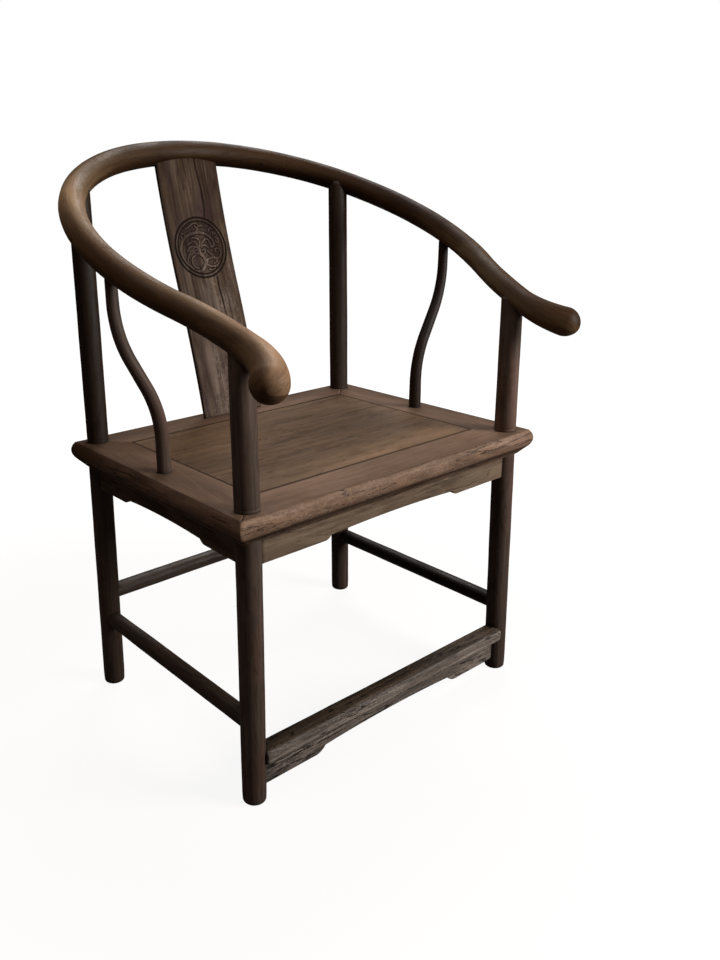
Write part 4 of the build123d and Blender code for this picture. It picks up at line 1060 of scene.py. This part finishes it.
apron_wood = wood("apron_wood", **APRON, seed=14.0)
# a darker copy of the apron wood: painted shade on the side aprons, under the seat's overhang
shaded_side_apron_wood = wood("shaded_side_apron_wood", **toned(APRON, 0.52), seed=17.0)
low_apron_wood = wood("low_apron_wood", **toned(FOOT, 1.26), seed=19.0)
front_x, front_y, _ = leg_axis(True, 1, BOTTOM)
rear_y = leg_axis(False, 1, BOTTOM)[1]
middle_y = (front_y + rear_y) / 2
inset = APRON_HOUSING - LEG_R  # from a leg's axis to an apron's end
end_edge = apron_edge(front_x + inset, END_REACH, *SEAT_APRON)
side_edge = apron_edge((rear_y - front_y) / 2 + inset, SIDE_REACH, *SEAT_APRON)
low_edge = apron_edge(leg_axis(True, 1, REST_LOW)[0] + inset, LOW_REACH, *LOW_APRON)
seat_aprons = (("front", end_edge, (0, -END_APRON_Y, BOTTOM), (1, 0, 0), apron_wood),
               ("back", end_edge, (0, END_APRON_Y, BOTTOM), (-1, 0, 0), apron_wood),
               ("right", side_edge, (SIDE_APRON_X, middle_y, BOTTOM), (0, 1, 0), shaded_side_apron_wood),
               ("left", side_edge, (-SIDE_APRON_X, middle_y, BOTTOM), (0, -1, 0), shaded_side_apron_wood))
for seed, (word, *form, apron_look) in enumerate(seat_aprons, 1):
    apron(word + "_apron", "apron_" + word, *form, apron_look, "frame_wood", float(seed))
apron("foot_rest_lower_apron", "foot_rest_apron", low_edge, (0, -END_APRON_Y, REST_LOW), (1, 0, 0),
      low_apron_wood, "foot_rest_wood", 5.0, lit_edge=0.5)

under_wood = wood("under_seat_wood", **toned(SEAT, 0.6), seed=21.0, axis=(1, 0, 2))
for node in ("seat_batten_left", "seat_batten_right"):
    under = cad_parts[node]
    under.data.materials.clear()
    under.data.materials.append(under_wood)

# ---- camera ----
IMAGE_W, IMAGE_H, FOCAL = 720, 960, 866.572  # pixels
CENTRE_X, CENTRE_Y = 289.976, 476.666  # where the lens points, in pixels
CAMERA_AT = (-920.714, -1087.417, 904.289)
YAW, PITCH, ROLL = 0.68495, 0.34368, 0.017858
SENSOR = 36.0

forward = Vector((sin(YAW) * cos(PITCH), cos(YAW) * cos(PITCH), -sin(PITCH)))
level_right = Vector((cos(YAW), -sin(YAW), 0))
level_down = forward.cross(level_right)
right = cos(ROLL) * level_right + sin(ROLL) * level_down
down = cos(ROLL) * level_down - sin(ROLL) * level_right
camera = new_object("camera", bpy.data.cameras.new("camera"))
camera.location = place(CAMERA_AT)
camera.rotation_mode = "QUATERNION"
camera.rotation_quaternion = Matrix((right, -down, -forward)).transposed().to_quaternion()
camera.data.sensor_width = SENSOR
camera.data.lens = SENSOR * FOCAL / IMAGE_H
camera.data.shift_x = (IMAGE_W / 2 - CENTRE_X) / IMAGE_H
camera.data.shift_y = (CENTRE_Y - IMAGE_H / 2) / IMAGE_H
camera.data.clip_start = 0.05
camera.data.clip_end = 60
bpy.context.scene.camera = camera


# ---- light and floor ----
def area_light(name, location, target_z, size, power):
    """A square or rectangular lamp that points at the chair's middle, at the given height."""
    lamp = bpy.data.lights.new(name, "AREA")
    lamp.shape = "RECTANGLE"
    lamp.size, lamp.size_y = size
    lamp.energy = power
    obj = new_object(name, lamp)
    obj.location = location
    obj.rotation_mode = "QUATERNION"
    obj.rotation_quaternion = (Vector((0, 0, target_z)) - Vector(location)).to_track_quat("-Z", "Y")
    obj.visible_camera = False


area_light("key", (1.54, -2.31, 1.62), 0.5, (1.2, 1.6), 108)
area_light("back", (1.5, 1.32, 2.83), 0.6, (1.4, 1.4), 52)
area_light("left", (-1.2, -0.1, 3.3), 0.6, (1.4, 1.4), 24)

# the camera sees plain white, and the chair is lit by a faint warm dusk
world = bpy.data.worlds.new("studio")
bpy.context.scene.world = world
sky = Tree(world)
white = sky.out("Background", {"Color": (1, 1, 1, 1)})
dusk = sky.out("Background", {"Color": (1.0, 0.6, 0.42, 1), "Strength": 0.055})
seen = sky.add("LightPath").outputs["Is Camera Ray"]
sky.add("OutputWorld", {0: sky.out("MixShader", {0: seen, 1: dusk, 2: white})})

# the floor takes soft shadows, and glows for the camera, a little less under the chair
floor_mesh = bpy.data.meshes.new("floor")
floor_mesh.from_pydata([(-9, -9, 0), (9, -9, 0), (9, 9, 0), (-9, 9, 0)], [], [(0, 1, 2, 3)])
floor = new_object("floor", floor_mesh)
ground = Tree(bpy.data.materials.new("floor"))
spot = ground.add("TexCoord").outputs["Object"]
from_chair = ground.add("VectorMath", {0: spot}, operation="LENGTH").outputs["Value"]
paleness = ground.ramp(from_chair, 0.5, 1.7, 0.9, 1.0)
seen = ground.add("LightPath").outputs["Is Camera Ray"]
glow = ground.out("Emission", {"Strength": ground.product(seen, paleness)})
paper = ground.out("BsdfDiffuse", {"Color": (0.12, 0.1, 0.09, 1)})
ground.add("OutputMaterial", {0: ground.out("AddShader", {0: paper, 1: glow})})
floor_mesh.materials.append(ground.owner)

bpy.context.scene.view_settings.view_transform = "Standard"
